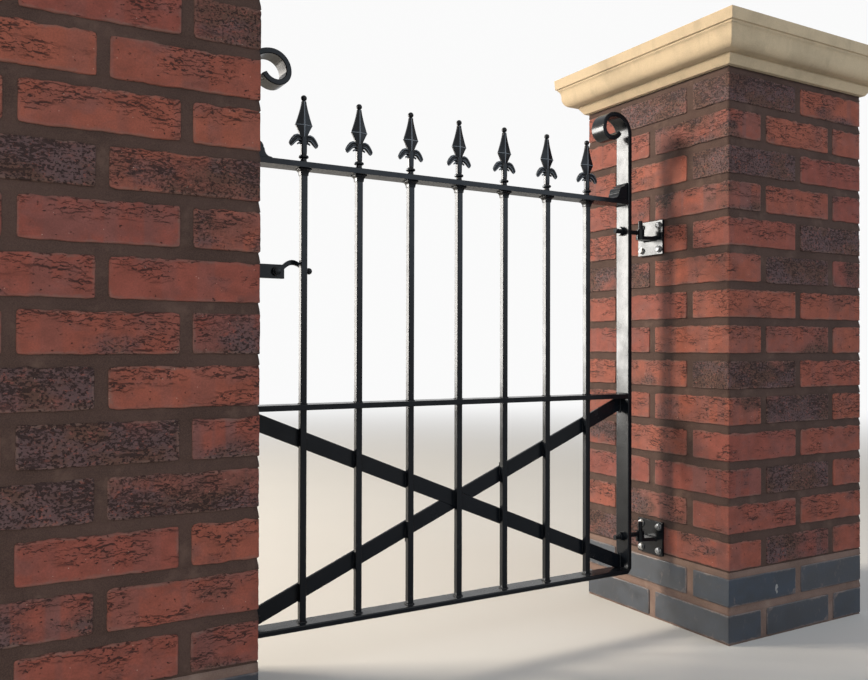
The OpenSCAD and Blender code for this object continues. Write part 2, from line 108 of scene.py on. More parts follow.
# Colours of the marks on bricks, stone, paint and bolts, among them painted shade for the bricks'
# hollows and the stone's voids, and a painted highlight for the paint's crests
BROWN_SCORCH = (0.092, 0.050, 0.038)
# Dark colour of the red bricks' hollows: painted shade in the folds, and in the pits both their own
# dark colour and painted shade
HOLLOW_SHADE = (0.020, 0.0105, 0.010)
WIPED_MORTAR = (0.185, 0.122, 0.104)
PALE_GRIT = (0.50, 0.40, 0.33)
BLUE_BLOOM = (0.060, 0.058, 0.062)
PLINTH_FILM = (0.215, 0.160, 0.142)
LIME_SPLASH = (0.42, 0.41, 0.40)
# Painted shade in the small voids of the cast stone
STONE_VOID = (0.20, 0.15, 0.09)
# Painted highlight: pale bluish colour on the crests of the ironwork
CREST_HIGHLIGHT = (0.25, 0.29, 0.335)
BOLT_PAINT = (0.020, 0.022, 0.026)
BOLT_ZINC = (0.36, 0.37, 0.38)

# Camera at the photograph's place: focal length and width in pixels, yaw, pitch and roll
FOCAL_PIXELS = 852.2
PHOTO_WIDTH = 868.0
SENSOR_WIDTH = 36.0
CAMERA_PLACE = (-0.9085, -1.4354, 0.614)
CAMERA_DEGREES = (30.11, 0.49, 0.15)


# Sizes and colours


def length(label, about, default):
    return FloatProperty(name=label, description=about, default=default, unit="LENGTH")


def amount(label, about, default):
    return FloatProperty(name=label, description=about, default=default)


def tone(label, about, *default):
    return FloatVectorProperty(name=label, description=about, default=default, subtype="COLOR",
                               size=3)


class BrickworkSettings(bpy.types.PropertyGroup):
    """Sizes and colours of the piers' bricks and mortar"""

    brick_length: length("Brick length", "Length of one brick", 0.215)
    brick_height: length("Brick height", "Height of one brick", 0.065)
    joint: length("Joint", "Thickness of the mortar joints", 0.010)
    lap: length("Mortar lap", "Extra width of joint where mortar covers the arrises", 0.0070)
    recess: length("Joint recess", "How far the mortar lies behind the brick faces", 0.0021)
    warp: length("Warp", "How far a red brick's face bows", 0.0014)
    blue_warp: length("Blue warp", "How far a blue brick's face bows", 0.0006)
    ragged: length("Ragged arris", "How far a red brick's outline wanders", 0.0105)
    crease_depth: length("Crease depth", "Depth of the torn folds on the red bricks", 0.0009)
    pit_depth: length("Pit depth", "Depth of the pits on the dark bricks", 0.0008)
    seed: IntProperty(name="Seed", description="Picks another set of bricks", default=7)
    red: tone("Red", "Plain fired brick", 0.225, 0.064, 0.049)
    orange: tone("Orange", "Softer fired brick", 0.285, 0.086, 0.056)
    purple: tone("Purple", "Bloom on the harder fired bricks", 0.150, 0.076, 0.073)
    dark: tone("Dark", "Scorched brick", 0.098, 0.064, 0.068)
    blue: tone("Blue", "Engineering brick", 0.015, 0.022, 0.034)
    mortar: tone("Mortar", "Mortar between the red bricks", 0.073, 0.045, 0.039)
    grit: tone("Grit", "Sand and lime in that mortar", 0.145, 0.094, 0.077)
    plinth_mortar: tone("Plinth mortar", "Mortar between the blue bricks", 0.195, 0.130, 0.110)
    plinth_grit: tone("Plinth grit", "Sand and lime in that mortar", 0.27, 0.205, 0.175)


class CapSettings(bpy.types.PropertyGroup):
    """Colours of the cast stone caps"""

    stone: tone("Stone", "Clean cast stone", 0.545, 0.440, 0.300)
    stain: tone("Stain", "Damp and dust on the stone", 0.30, 0.245, 0.170)
    edge_round: length("Edge rounding", "Rounding of the stone's edges", 0.0016)


class IronSettings(bpy.types.PropertyGroup):
    """Sizes and colours of the painted ironwork"""

    edge_round: length("Edge rounding", "Rounding of the bars' edges", 0.0014)
    bolt_across: length("Bolt head", "Across the flats of the plate bolts", 0.013)
    nut_across: length("Nut", "Across the flats of the hinge nuts", 0.017)
    weld_pitch: length("Weld ripple", "Distance between the ripples of a weld", 0.0019)
    thread_pitch: length("Thread pitch", "Pitch of the hinge bolts' thread", 0.0015)
    paint: tone("Paint", "Satin black paint", 0.0052, 0.0070, 0.0102)
    dust: tone("Dust", "Dust that has settled on the paint", 0.045, 0.042, 0.040)


class StageSettings(bpy.types.PropertyGroup):
    """Floor, lamps and background"""

    floor: tone("Floor", "Colour of the floor", 0.702, 0.698, 0.684)
    surround: amount("Surround", "Strength of the light from all sides", 0.37)
    front_lamp: amount("Front lamp", "Power of the lamp in front", 33.0)
    side_lamp: amount("Side lamp", "Power of the cool lamp in front on the right", 17.0)
    low_sun: amount("Low sun", "Power of the warm lamp high behind on the left", 490.0)
    stile_panel: amount("Stile panel", "Power of the panel that the hinge stile mirrors", 175.0)
    bar_panel: amount("Bar panel", "Power of the panel that the bars mirror", 26.0)


SETTINGS = {
    "gate_brickwork": BrickworkSettings,
    "gate_caps": CapSettings,
    "gate_iron": IronSettings,
    "gate_stage": StageSettings,
}


# Node helpers


class Graph:
    """Adds nodes to a tree, feeding each socket a value or another node's output"""

    def __init__(self, tree):
        self.tree = tree
        self.place = None
        self.shift = None

    def node(self, kind, feeds=None, **settings):
        made = self.tree.nodes.new(kind)
        for name, value in settings.items():
            setattr(made, name, value)
        for key, value in (feeds or {}).items():
            self.feed(made.inputs[key], value)
        return made

    def add(self, kind, feeds=None, out=0, **settings):
        return self.node(kind, feeds, **settings).outputs[out]

    def feed(self, socket, value):
        if isinstance(value, bpy.types.NodeSocket):
            self.tree.links.new(value, socket)
        else:
            socket.default_value = value

    def math(self, operation, *values, clamp=False):
        return self.add("ShaderNodeMath", dict(enumerate(values)), operation=operation,
                        use_clamp=clamp)

    def plus(self, first, second, clamp=False):
        return self.math("ADD", first, second, clamp=clamp)

    def minus(self, first, second):
        return self.math("SUBTRACT", first, second)

    def times(self, first, second):
        return self.math("MULTIPLY", first, second)

    def times_plus(self, first, second, third):
        return self.math("MULTIPLY_ADD", first, second, third)

    def larger(self, first, second):
        return self.math("MAXIMUM", first, second)

    def vector(self, operation, *values):
        number = operation in ("LENGTH", "DOT_PRODUCT")
        return self.add("ShaderNodeVectorMath", dict(enumerate(values)), out=int(number),
                        operation=operation)

    def stretched(self, vector, by):
        return self.add("ShaderNodeVectorMath", {0: vector, "Scale": by}, operation="SCALE")

    def flow(self, x, y, z):
        """The place on the surface, scaled along each axis and shifted for each brick"""
        spread = self.vector("MULTIPLY", self.place, (x, y, z))
        return spread if self.shift is None else self.vector("ADD", spread, self.shift)

    def noise(self, scale=1.0, detail=2.0, roughness=0.5, at=None, out=0):
        return self.add("ShaderNodeTexNoise", {
            "Vector": self.place if at is None else at, "Scale": scale, "Detail": detail,
            "Roughness": roughness}, out=out)

    def grain(self, x, y, z, detail=2.0, roughness=0.5, out=0):
        """Noise with its own scale along each axis"""
        return self.noise(1.0, detail, roughness, self.flow(x, y, z), out)

    def cells(self, at, scale):
        return self.add("ShaderNodeTexVoronoi", {"Vector": at, "Scale": scale})

    def ramp(self, value, start, end, low=0.0, high=1.0):
        return self.add("ShaderNodeMapRange", {0: value, 1: start, 2: end, 3: low, 4: high},
                        interpolation_type="SMOOTHSTEP")

    def line(self, value, start, end, low=0.0, high=1.0):
        return self.add("ShaderNodeMapRange", {0: value, 1: start, 2: end, 3: low, 4: high})

    def mix(self, share, first, second, blend="MIX"):
        first, second = (value if isinstance(value, bpy.types.NodeSocket) else (*value, 1.0)
                         for value in (first, second))
        return self.add("ShaderNodeMix", {0: share, 6: first, 7: second}, out=2,
                        data_type="RGBA", blend_type=blend)

    def shaded(self, colour, shade):
        """The colour made darker or lighter by one factor"""
        grey = self.add("ShaderNodeCombineColor", {0: shade, 1: shade, 2: shade})
        return self.mix(1.0, colour, grey, "MULTIPLY")

    def attribute(self, name, out=2):
        return self.add("ShaderNodeAttribute", out=out, attribute_name=name)

    def named(self, label, vector=False):
        kind = "FLOAT_VECTOR" if vector else "FLOAT"
        return self.add("GeometryNodeInputNamedAttribute", {"Name": label}, data_type=kind)


class Finish(Graph):
    """A new material with one shader, patterned by the place on the object"""

    def __init__(self, name):
        self.material = bpy.data.materials.new(name)
        self.material.use_nodes = True
        super().__init__(self.material.node_tree)
        self.tree.nodes.clear()
        self.shader = self.node("ShaderNodeBsdfPrincipled")
        self.output = self.node("ShaderNodeOutputMaterial", {"Surface": self.shader.outputs[0]})
        self.place = self.node("ShaderNodeTexCoord").outputs["Object"]

    def cover(self, colour, roughness, specular=0.5, metallic=0.0):
        values = {"Base Color": colour, "Roughness": roughness, "Specular IOR Level": specular,
                  "Metallic": metallic}
        for label, value in values.items():
            self.feed(self.shader.inputs[label], value)

    def bump(self, height, strength, distance):
        normal = self.add("ShaderNodeBump", {
            "Height": height, "Strength": strength, "Distance": distance})
        self.feed(self.shader.inputs["Normal"], normal)


# Mesh helpers


def loft(bm, rings):
    """Skins rings of equal length from the first to the last and closes both ends"""
    rows = [[bm.verts.new(p) for p in ring] for ring in rings]
    count = len(rows[0])
    for low, high in zip(rows, rows[1:]):
        for i in range(count):
            j = (i + 1) % count
            bm.faces.new((low[i], low[j], high[j], high[i]))
    bm.faces.new(list(reversed(rows[0])))
    bm.faces.new(rows[-1])


def square_loop(middle_x, half, z, cells):
    """Points along a square round a pier's axis, evenly divided"""
    ring = []
    for (sx, sy), (dx, dy) in zip(CORNERS, [(1, 0), (0, 1), (-1, 0), (0, -1)]):
        for k in range(cells):
            t = 2 * half * k / cells
            ring.append(Vector((middle_x + sx * half + dx * t, sy * half + dy * t, z)))
    return ring


def round_ring(radius, z, segments=36):
    return [Vector((radius * math.cos(2 * math.pi * k / segments),
                    radius * math.sin(2 * math.pi * k / segments), z)) * MM
            for k in range(segments)]


def mesh_from(bm, name, smooth=False):
    mesh = bpy.data.meshes.new(name)
    bmesh.ops.recalc_face_normals(bm, faces=bm.faces)
    for face in bm.faces:
        face.smooth = smooth
    bm.to_mesh(mesh)
    bm.free()
    return mesh


def store(mesh, label, values):
    """Keeps one number or vector for each vertex under a name"""
    vector = isinstance(values[0], (tuple, Vector))
    layer = mesh.attributes.new(label, "FLOAT_VECTOR" if vector else "FLOAT", "POINT")
    if vector:
        layer.data.foreach_set("vector", [c for value in values for c in value])
    else:
        layer.data.foreach_set("value", values)


def line_mesh(name, places, edges=(), **columns):
    """Points and edges that carry one value a point for each named column"""
    mesh = bpy.data.meshes.new(name)
    mesh.from_pydata(places, edges, [])
    for label, values in columns.items():
        store(mesh, label, values)
    return mesh


def put_in_scene(name, mesh):
    piece = bpy.data.objects.new(name, mesh)
    bpy.context.scene.collection.objects.link(piece)
    return piece


def settle_modifiers(piece):
    """Turns the piece with its modifiers into a plain mesh"""
    graph = bpy.context.evaluated_depsgraph_get()
    mesh = bpy.data.meshes.new_from_object(
        piece.evaluated_get(graph), preserve_all_data_layers=True, depsgraph=graph)
    piece.modifiers.clear()
    piece.data = mesh
    mesh.name = piece.name
    return piece


def soften(piece, width, angle=32.0, segments=2):
    """Rounds the sharp edges of a piece and shades its flats flat"""
    for face in piece.data.polygons:
        face.use_smooth = True
    bevel = piece.modifiers.new("edges", "BEVEL")
    bevel.width = width
    bevel.segments = segments
    bevel.limit_method = "ANGLE"
    bevel.angle_limit = math.radians(angle)
    bevel.use_clamp_overlap = True
    bevel.harden_normals = True
    return settle_modifiers(piece)


def dress(piece, finish, body, slot, *nodes):
    """Gives a finished piece its material, its body and the nodes it stands for"""
    if len(piece.data.polygons) == 0:
        raise RuntimeError(f"{piece.name} has no faces")
    piece.data.materials.clear()
    piece.data.materials.append(finish)
    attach(piece, body)
    if nodes:
        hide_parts(*nodes)


def remove_helpers(objects):
    for helper in objects:
        bpy.data.objects.remove(helper, do_unlink=True)


def new_tree(name, floats=()):
    """Geometry tree with a material input and one named input for each size"""
    tree = bpy.data.node_groups.new(name, "GeometryNodeTree")
    tree.interface.new_socket("Geometry", in_out="OUTPUT", socket_type="NodeSocketGeometry")
    sockets = {"Geometry": "Geometry", "Finish": "Material", "Blocks": "Collection",
               **{label: "Float" for label in floats}}
    for label, kind in sockets.items():
        tree.interface.new_socket(label, in_out="INPUT", socket_type=f"NodeSocket{kind}")
    graph = Graph(tree)
    return tree, graph, graph.node("NodeGroupInput").outputs


def close_tree(graph, geometry, finish):
    painted = graph.add("GeometryNodeSetMaterial", {"Geometry": geometry, "Material": finish})
    graph.node("NodeGroupOutput", {0: painted})


def run_tree(piece, tree, values):
    """Runs a geometry tree on the piece and keeps the result as a plain mesh"""
    modifier = piece.modifiers.new(tree.name, "NODES")
    modifier.node_group = tree
    for item in tree.interface.items_tree:
        if item.in_out == "INPUT" and item.name in values:
            modifier[item.identifier] = values[item.name]
    settle_modifiers(piece)


def block_collection(name, meshes):
    """Helper collection of the shapes that a tree places, in the order given"""
    blocks = bpy.data.collections.new(name)
    bpy.context.scene.collection.children.link(blocks)
    for i, mesh in enumerate(meshes):
        blocks.objects.link(bpy.data.objects.new(f"{name}_{i}", mesh))
    return blocks


def drop_collection(blocks):
    remove_helpers(list(blocks.objects))
    bpy.data.collections.remove(blocks)


def place_blocks(graph, inputs):
    """Instances the block named by 'kind' on each point, turned by 'turn'"""
    blocks = graph.add("GeometryNodeCollectionInfo", {
        "Collection": inputs["Blocks"], "Separate Children": True, "Reset Children": True})
    turn = graph.add("FunctionNodeEulerToRotation", {0: graph.named("turn", vector=True)})
    placed = graph.add("GeometryNodeInstanceOnPoints", {
        "Points": inputs["Geometry"], "Instance": blocks, "Pick Instance": True,
        "Instance Index": graph.named("kind"), "Rotation": turn})
    return graph.add("GeometryNodeRealizeInstances", {0: placed})


# Shapes of the bricks and the mortar

# Radius of a brick's upright arrises and of its faces' corners, rounding of its beds, width
# of the first division beside an edge, and divisions of a side that the mortar hides
ARRIS = 2.2 * MM
FACE_CORNER = 6 * MM
BED_ROUND = 1.3 * MM
EDGE_BAND = 0.8 * MM
HIDDEN = 3

# Lean of a brick in radians, and share of hard fired bricks on the sides that the photo hides
LEAN = 0.005
HARD_SHARE = 0.16

# Face of the mortar at the foot and the top of a course: height past the brick's edge and how
# far it stands out, in millimetres
JOINT_FOOT = [(-0.7, -1.5), (1.5, -0.2)]
JOINT_TOP = [(-0.6, 0.3), (1.2, 0.7), (7.0, 0.1)]

# Width of the band at a pier's corners where mortar fills the bed joints, and by how many
# millimetres it does
CORNER_BAND = 5 * MM
CORNER_FILL = 1.7


def brick_plan(half_x, half_y, steps, pull, z):
    """Outline of a brick at one height, with round corners and finely divided sides"""
    radius = ARRIS - min(pull, ARRIS * 0.9)
    arcs = []
    for i, (sx, sy) in enumerate(CORNERS):
        centre = Vector((sx * (half_x - ARRIS), sy * (half_y - ARRIS), z))
        arcs.append([centre + radius * Vector((math.cos(a), math.sin(a), 0))
                     for a in (math.radians(180 + 90 * i + turn) for turn in (0, 45, 90))])
    ring = []
    for i, arc in enumerate(arcs):
        after = arcs[(i + 1) % 4][0]
        near = min(EDGE_BAND / (after - arc[-1]).length, 0.4)
        shares = [near] + [near + (1 - 2 * near) * k / (steps[i] - 2) for k in range(1, steps[i] - 1)]
        ring += arc + [arc[-1].lerp(after, share) for share in shares]
    return ring


def brick_rings(half_x, half_y, height, steps, rows):
    """Outlines of a closed brick from its lower to its upper bed"""
    near = BED_ROUND + EDGE_BAND
    levels = [(BED_ROUND, 0.0), (0.0, BED_ROUND)]
    levels += [(0.0, near + (height - 2 * near) * k / (rows - 2)) for k in range(rows - 1)]
    levels += [(0.0, height - BED_ROUND), (BED_ROUND, height)]
    rings = [brick_plan(half_x, half_y, steps, pull, z) for pull, z in levels]
    low, high = ([Vector((p.x * 0.82, p.y * 0.82, p.z)) for p in ring]
                 for ring in (rings[0], rings[-1]))
    return [low] + rings + [high]


def round_corners(point, half_x, half_y, height, steps):
    """Moves a point of a brick in from the corners of the faces, where they meet a joint"""
    rise = min(point.z, height - point.z)
    for axis, sign, half, divisions in ((0, -1, half_x, steps[3]), (0, 1, half_x, steps[1]),
                                        (1, 1, half_y, steps[2])):
        end = half - sign * point[axis]
        if divisions == HIDDEN and end < FACE_CORNER and rise < FACE_CORNER:
            lean = Vector((end - FACE_CORNER, rise - FACE_CORNER))
            if lean.length > FACE_CORNER:
                lean *= FACE_CORNER / lean.length
                point[axis] = sign * (half - FACE_CORNER - lean.x)
                lifted = FACE_CORNER + lean.y
                point.z = lifted if point.z < height / 2 else height - lifted


def brick_mesh(name, half_x, half_y, height, steps, rows):
    """Brick that stores how far up each point lies and how far in from the joints, in mm"""
    bm = bmesh.new()
    loft(bm, brick_rings(half_x, half_y, height, steps, rows))
    for vert in bm.verts:
        round_corners(vert.co, half_x, half_y, height, steps)
    mesh = mesh_from(bm, name, smooth=True)
    store(mesh, "rise", [v.co.z / height for v in mesh.vertices])
    borders = []
    for x, y, z in [v.co for v in mesh.vertices]:
        ends = [half_x + x if steps[3] == HIDDEN else half_y - y,
                half_x - x if steps[1] == HIDDEN else half_y - y]
        borders.append(min(z, height - z, *ends) / MM)
    store(mesh, "border", borders)
    return mesh


def block_halves(sizes):
    """Half sizes of a corner brick and of a middle brick, as far as they show"""
    pitch = sizes.brick_length + sizes.joint
    shown_joint = sizes.joint + sizes.lap
    corner_length = PIER_HALF - shown_joint / 2
    middle_length = pitch - shown_joint
    width = PIER_HALF - pitch / 2 - shown_joint / 2
    return corner_length / 2, middle_length / 2, width / 2


def brick_shapes(sizes, name, fine_x, fine_y, rows):
    """Corner bricks of both hands and the middle brick, fine only where they show"""
    corner, middle, half_y = block_halves(sizes)
    height = sizes.brick_height - sizes.lap
    shapes = [(corner, (fine_x, fine_y, HIDDEN, HIDDEN)), (corner, (fine_x, HIDDEN, HIDDEN, fine_y)),
              (middle, (fine_x, HIDDEN, HIDDEN, HIDDEN))]
    return [brick_mesh(f"{name}_{i}", half_x, half_y, height, steps, rows)
            for i, (half_x, steps) in enumerate(shapes)]


def course_places(sizes, pier_x, course):
    """Brick middles, shapes and turns of one course, counted from the top"""
    corner, _, half_y = block_halves(sizes)
    along = PIER_HALF - corner
    out = PIER_HALF - half_y
    spots = [
        ("front_right", along, -out, 0, 0.0), ("front_left", -along, -out, 1, 0.0),
        ("back_left", -along, out, 0, 2 * QUARTER), ("back_right", along, out, 1, 2 * QUARTER),
        ("right", out, 0.0, 2, QUARTER), ("left", -out, 0.0, 2, -QUARTER),
    ]
    if course % 2:
        names = ["back_right", "front_right", "front_left", "back_left", "back", "front"]
        spots = [(name, -y, x, kind, turn + QUARTER)
                 for name, (_, x, y, kind, turn) in zip(names, spots)]
    height = sizes.brick_height + sizes.joint
    z = PIER_TOP - height * (course + 1) + sizes.lap / 2
    return [(name, (pier_x + x, y, z), kind, turn) for name, x, y, kind, turn in spots]


def wall_points(sizes, name, side, courses):
    """One point for each brick that shows, with its shape, turn, shift and firing"""
    draw = random.Random(sizes.seed * 10 + side)
    rows = []
    for course in courses:
        for spot, place, kind, turn in course_places(sizes, side * PIER_X, course):
            shift = tuple(draw.uniform(0.0, 90.0) for _ in range(3))
            fired = draw.random()
            dark = 0.3 * draw.random() ** 2
            if draw.random() < HARD_SHARE and spot.startswith(("back", "right")):
                dark = draw.uniform(0.5, 1.0)
            dark = DARK_BRICKS[side].get((course, spot), dark)
            tilt = draw.uniform(-LEAN, LEAN)
            rows.append((place, float(kind), (tilt / 3, tilt / 3, turn + tilt), shift, fired, dark))
    places, kinds, turns, shifts, fired, darks = zip(*rows)
    return line_mesh(name, places, kind=kinds, turn=turns, shift=shifts, fired=fired, dark=darks)


def mortar_core(name, side, courses, sizes):
    """Block of mortar that shows in the joints, struck back under each course of bricks"""
    pitch = sizes.brick_height + sizes.joint
    shown = sizes.brick_height - sizes.lap
    half = PIER_HALF - sizes.recess
    levels = [(PIER_TOP - pitch * (courses[-1] + 1), 0.0)]
    for course in reversed(courses):
        foot = PIER_TOP - pitch * (course + 1) + sizes.lap / 2
        levels += [(foot + past * MM, out) for past, out in JOINT_FOOT]
        levels += [(foot + shown * k / 6, 0.0) for k in range(1, 6)]
        levels += [(foot + shown + past * MM, out) for past, out in JOINT_TOP]
    levels.append((PIER_TOP - pitch * courses[0], 0.0))
    middle = side * PIER_X
    bm = bmesh.new()
    loft(bm, [square_loop(middle, half + out * MM, z, 64) for z, out in levels])
    for vert in bm.verts:
        uneven = noise.noise(vert.co * 42.0) * 0.35 + noise.noise(vert.co * 125.0) * 0.35
        flat = Vector((vert.co.x - middle, vert.co.y, 0.0))
        level = (PIER_TOP - vert.co.z - sizes.joint / 2) / pitch
        at_corner = min(abs(flat.x), abs(flat.y)) > half - CORNER_BAND
        if at_corner and abs(level - round(level)) < 0.11:
            uneven += CORNER_FILL
        vert.co += flat.normalized() * uneven * MM
    return put_in_scene(name, mesh_from(bm, name, smooth=True))


# Patterns that both the shape and the colour of a brick follow, from 0 to 1


def torn_edge(graph, flow, step):
    """Narrow band under the upper border of each patch of a stretched noise"""
    here, above = (graph.ramp(graph.noise(1.0, 3.0, 0.65, spot), 0.49, 0.52)
                   for spot in (flow, graph.vector("ADD", flow, (0.0, 0.0, step))))
    return graph.times(here, graph.minus(1.0, above))


def torn_zone(graph, rise):
    """Part of a brick's face that the wire has torn, mostly its upper half"""
    lifted = graph.times_plus(graph.minus(rise, 0.50), 0.22, graph.grain(11, 11, 20))
    return graph.ramp(lifted, 0.45, 0.58)


def long_creases(graph, zone):
    """Thin wavy folds along a brick's face, broken into short runs"""
    torn = torn_edge(graph, graph.flow(21, 21, 70), 0.19)
    broken = graph.ramp(graph.grain(27, 27, 44, detail=1.0), 0.47, 0.54)
    return graph.times(graph.times(torn, zone), broken)


def mortar_film(graph, reach):
    """Patchy film of mortar that was wiped over a brick's borders"""
    wiped = graph.grain(75, 75, 95, detail=5.0, roughness=0.7)
    patch = graph.ramp(graph.grain(17, 17, 17, detail=1.0), 0.40, 0.62)
    border = graph.times_plus(graph.minus(wiped, 0.5), -14.0, graph.attribute("border"))
    film = graph.ramp(border, 0.4, reach, 1.0, 0.0)
    return graph.times(film, graph.times_plus(patch, 0.75, 0.25))


def kiln_marks(graph, dark):
    """Upright stripes where a brick lay against others in the kiln"""
    across = graph.plus(*graph.node("ShaderNodeSeparateXYZ", {0: graph.place}).outputs[:2])
    stripes = graph.add("ShaderNodeTexNoise", {
        "W": graph.times_plus(across, 24.0, graph.vector("LENGTH", graph.shift)),
        "Scale": 1.0, "Detail": 2.0}, noise_dimensions="1D")
    return graph.times(graph.ramp(stripes, 0.50, 0.62), graph.ramp(dark, 0.05, 0.5, 0.30, 0.9))


# Bricks and mortar


def start_bricks(name, floats, spread, level):
    """Tree for bricks whose faces bow, with the depth of that bow"""
    tree, graph, inputs = new_tree(name, ["Warp", *floats])
    graph.place = graph.add("GeometryNodeInputPosition")
    graph.shift = graph.named("shift", vector=True)
    bow = graph.minus(graph.grain(spread, spread, spread), level)
    return tree, graph, inputs, graph.times(bow, inputs["Warp"])


def end_bricks(graph, inputs, offset):
    worn = graph.add("GeometryNodeSetPosition", {
        "Geometry": place_blocks(graph, inputs), "Offset": offset})
    close_tree(graph, worn, inputs["Finish"])


def rustic_brick_tree():
    """Places red bricks and wears their faces with folds, pits and a slight bow"""
    tree, graph, inputs, depth = start_bricks(
        "rustic_bricks", ["Ragged", "Crease depth", "Pit depth"], 16, 0.52)
    rise = graph.named("rise")
    crease = long_creases(graph, torn_zone(graph, rise))
    pits = graph.times(graph.ramp(graph.grain(95, 95, 150), 0.42, 0.7), graph.named("dark"))
    depth = graph.minus(depth, graph.times(crease, inputs["Crease depth"]))
    depth = graph.minus(depth, graph.times(pits, inputs["Pit depth"]))
    normal = graph.add("GeometryNodeInputNormal")
    wander = graph.grain(44, 44, 44, detail=4.0, roughness=0.6, out=1)
    wander = graph.vector("SUBTRACT", wander, (0.5, 0.5, 0.5))
    level = graph.vector("NORMALIZE", graph.vector("MULTIPLY", normal, (1.0, 1.0, 0.0)))
    outward = graph.stretched(level, graph.vector("DOT_PRODUCT", wander, level))
    crumbled = graph.times(inputs["Ragged"], graph.ramp(rise, 0.4, 1.0, 0.6, 1.25))
    wander = graph.stretched(graph.vector("SUBTRACT", wander, outward), crumbled)
    end_bricks(graph, inputs, graph.vector("ADD", graph.stretched(normal, depth), wander))
    return tree


def engineering_brick_tree():
    """Places the smooth blue bricks with a faint unevenness"""
    tree, graph, inputs, depth = start_bricks("blue_bricks", [], 26, 0.5)
    end_bricks(graph, inputs, graph.stretched(graph.add("GeometryNodeInputNormal"), depth))
    return tree


def brick_hollows(graph, zone, covered):
    """Folds and pits of a red brick's face, from 0 to 1, the mask of the painted shade in them"""
    small = torn_edge(graph, graph.flow(58, 58, 165), 0.24)
    small = graph.times(small, graph.times(zone, 0.8))
    pitted = graph.times_plus(zone, 0.070, graph.times(covered, 0.075))
    pits = graph.plus(graph.grain(125, 125, 215, roughness=0.6), pitted)
    peppered = graph.ramp(graph.grain(250, 250, 330), 0.54, 0.62)
    pits = graph.larger(graph.ramp(pits, 0.685, 0.73), graph.times(peppered, covered))
    return graph.larger(graph.larger(long_creases(graph, zone), small), pits)


def rustic_brick_finish(sizes):
    """Red brick with thin folds and pits (darkened with painted shade, the pits partly with their own
    dark colour), purple bloom, scorched patches, kiln marks and grit
    """
    graph = Finish("rustic_red_brick")
    graph.shift = graph.attribute("shift", 1)
    dark = graph.attribute("dark")
    zone = torn_zone(graph, graph.attribute("rise"))

    body = graph.mix(graph.attribute("fired"), sizes.red, sizes.orange)
    cloud = graph.grain(12, 12, 18, detail=4.0, roughness=0.65)
    bloom = graph.ramp(graph.times_plus(dark, 0.22, cloud), 0.50, 0.70)
    bloom = graph.larger(graph.times(bloom, 0.6), kiln_marks(graph, dark))
    colour = graph.mix(graph.times(bloom, 0.75), body, sizes.purple)

    patch = graph.times_plus(dark, 0.42, graph.grain(9, 9, 15, detail=3.0))
    covered = graph.ramp(patch, 0.60, 0.82)
    speck = graph.grain(140, 140, 190, detail=3.0, roughness=0.7)
    flecks = graph.times(graph.ramp(speck, 0.36, 0.44, 0.25, 1.0), covered)
    scorched = graph.mix(graph.ramp(cloud, 0.42, 0.60), sizes.dark, BROWN_SCORCH)
    colour = graph.mix(graph.times(flecks, 0.9), colour, scorched)

    fine = graph.grain(430, 430, 430)
    broad = graph.grain(38, 38, 52, detail=3.0)
    shade = graph.times(*(graph.line(part, 0.3, 0.7, 0.86, 1.14) for part in (fine, broad)))
    colour = graph.shaded(colour, shade)

    hollow = brick_hollows(graph, zone, covered)
    # Painted shade in the folds; in the pits it is partly their own dark colour and partly painted
    # shade
    colour = graph.mix(graph.times(hollow, 0.84), colour, HOLLOW_SHADE)
    film = graph.times(mortar_film(graph, 5.5), graph.minus(1.0, hollow))
    colour = graph.mix(graph.times(film, 0.55), colour, WIPED_MORTAR)
    grit = graph.math("LESS_THAN", graph.cells(graph.flow(1, 1, 1), 85.0), 0.060)
    grit = graph.times(grit, graph.math("GREATER_THAN", broad, 0.50))
    colour = graph.mix(graph.times(grit, 0.6), colour, PALE_GRIT)
    graph.cover(colour, graph.line(fine, 0.3, 0.7, 0.78, 0.93), 0.30)

    height = graph.times_plus(fine, 0.10, graph.times(hollow, -1.0))
    grain = graph.grain(80, 80, 150, detail=4.0)
    height = graph.times_plus(grain, graph.times_plus(zone, 0.5, 0.28), height)
    graph.bump(height, 1.0, 1.6 * MM)
    return graph.material


def engineering_brick_finish(sizes):
    """Dense blue grey brick with mortar smears, lime splashes and small scuffs"""
    graph = Finish("blue_engineering_brick")
    graph.shift = graph.attribute("shift", 1)
    cloud = graph.grain(16, 16, 30, detail=5.0, roughness=0.65)
    colour = graph.mix(graph.ramp(cloud, 0.32, 0.7), sizes.blue, [c * 1.75 for c in sizes.blue])
    colour = graph.mix(graph.times(graph.attribute("fired"), 0.35), colour, BLUE_BLOOM)
    smear = graph.grain(60, 60, 34, detail=6.0, roughness=0.75)
    marks = graph.times(graph.ramp(smear, 0.58, 0.76), 0.45)
    marks = graph.larger(marks, graph.times(mortar_film(graph, 4.5), 0.6))
    colour = graph.mix(marks, colour, PLINTH_FILM)
    splash = graph.math("LESS_THAN", graph.cells(graph.flow(1, 1, 0.45), 15.0), 0.085)
    splash = graph.times(splash, graph.math("GREATER_THAN", smear, 0.47))
    colour = graph.mix(graph.times(splash, 0.6), colour, LIME_SPLASH)
    graph.cover(colour, graph.ramp(cloud, 0.3, 0.7, 0.42, 0.62))
    graph.bump(graph.times_plus(smear, 0.6, graph.noise(320.0, detail=3.0)), 0.3, 0.5 * MM)
    return graph.material


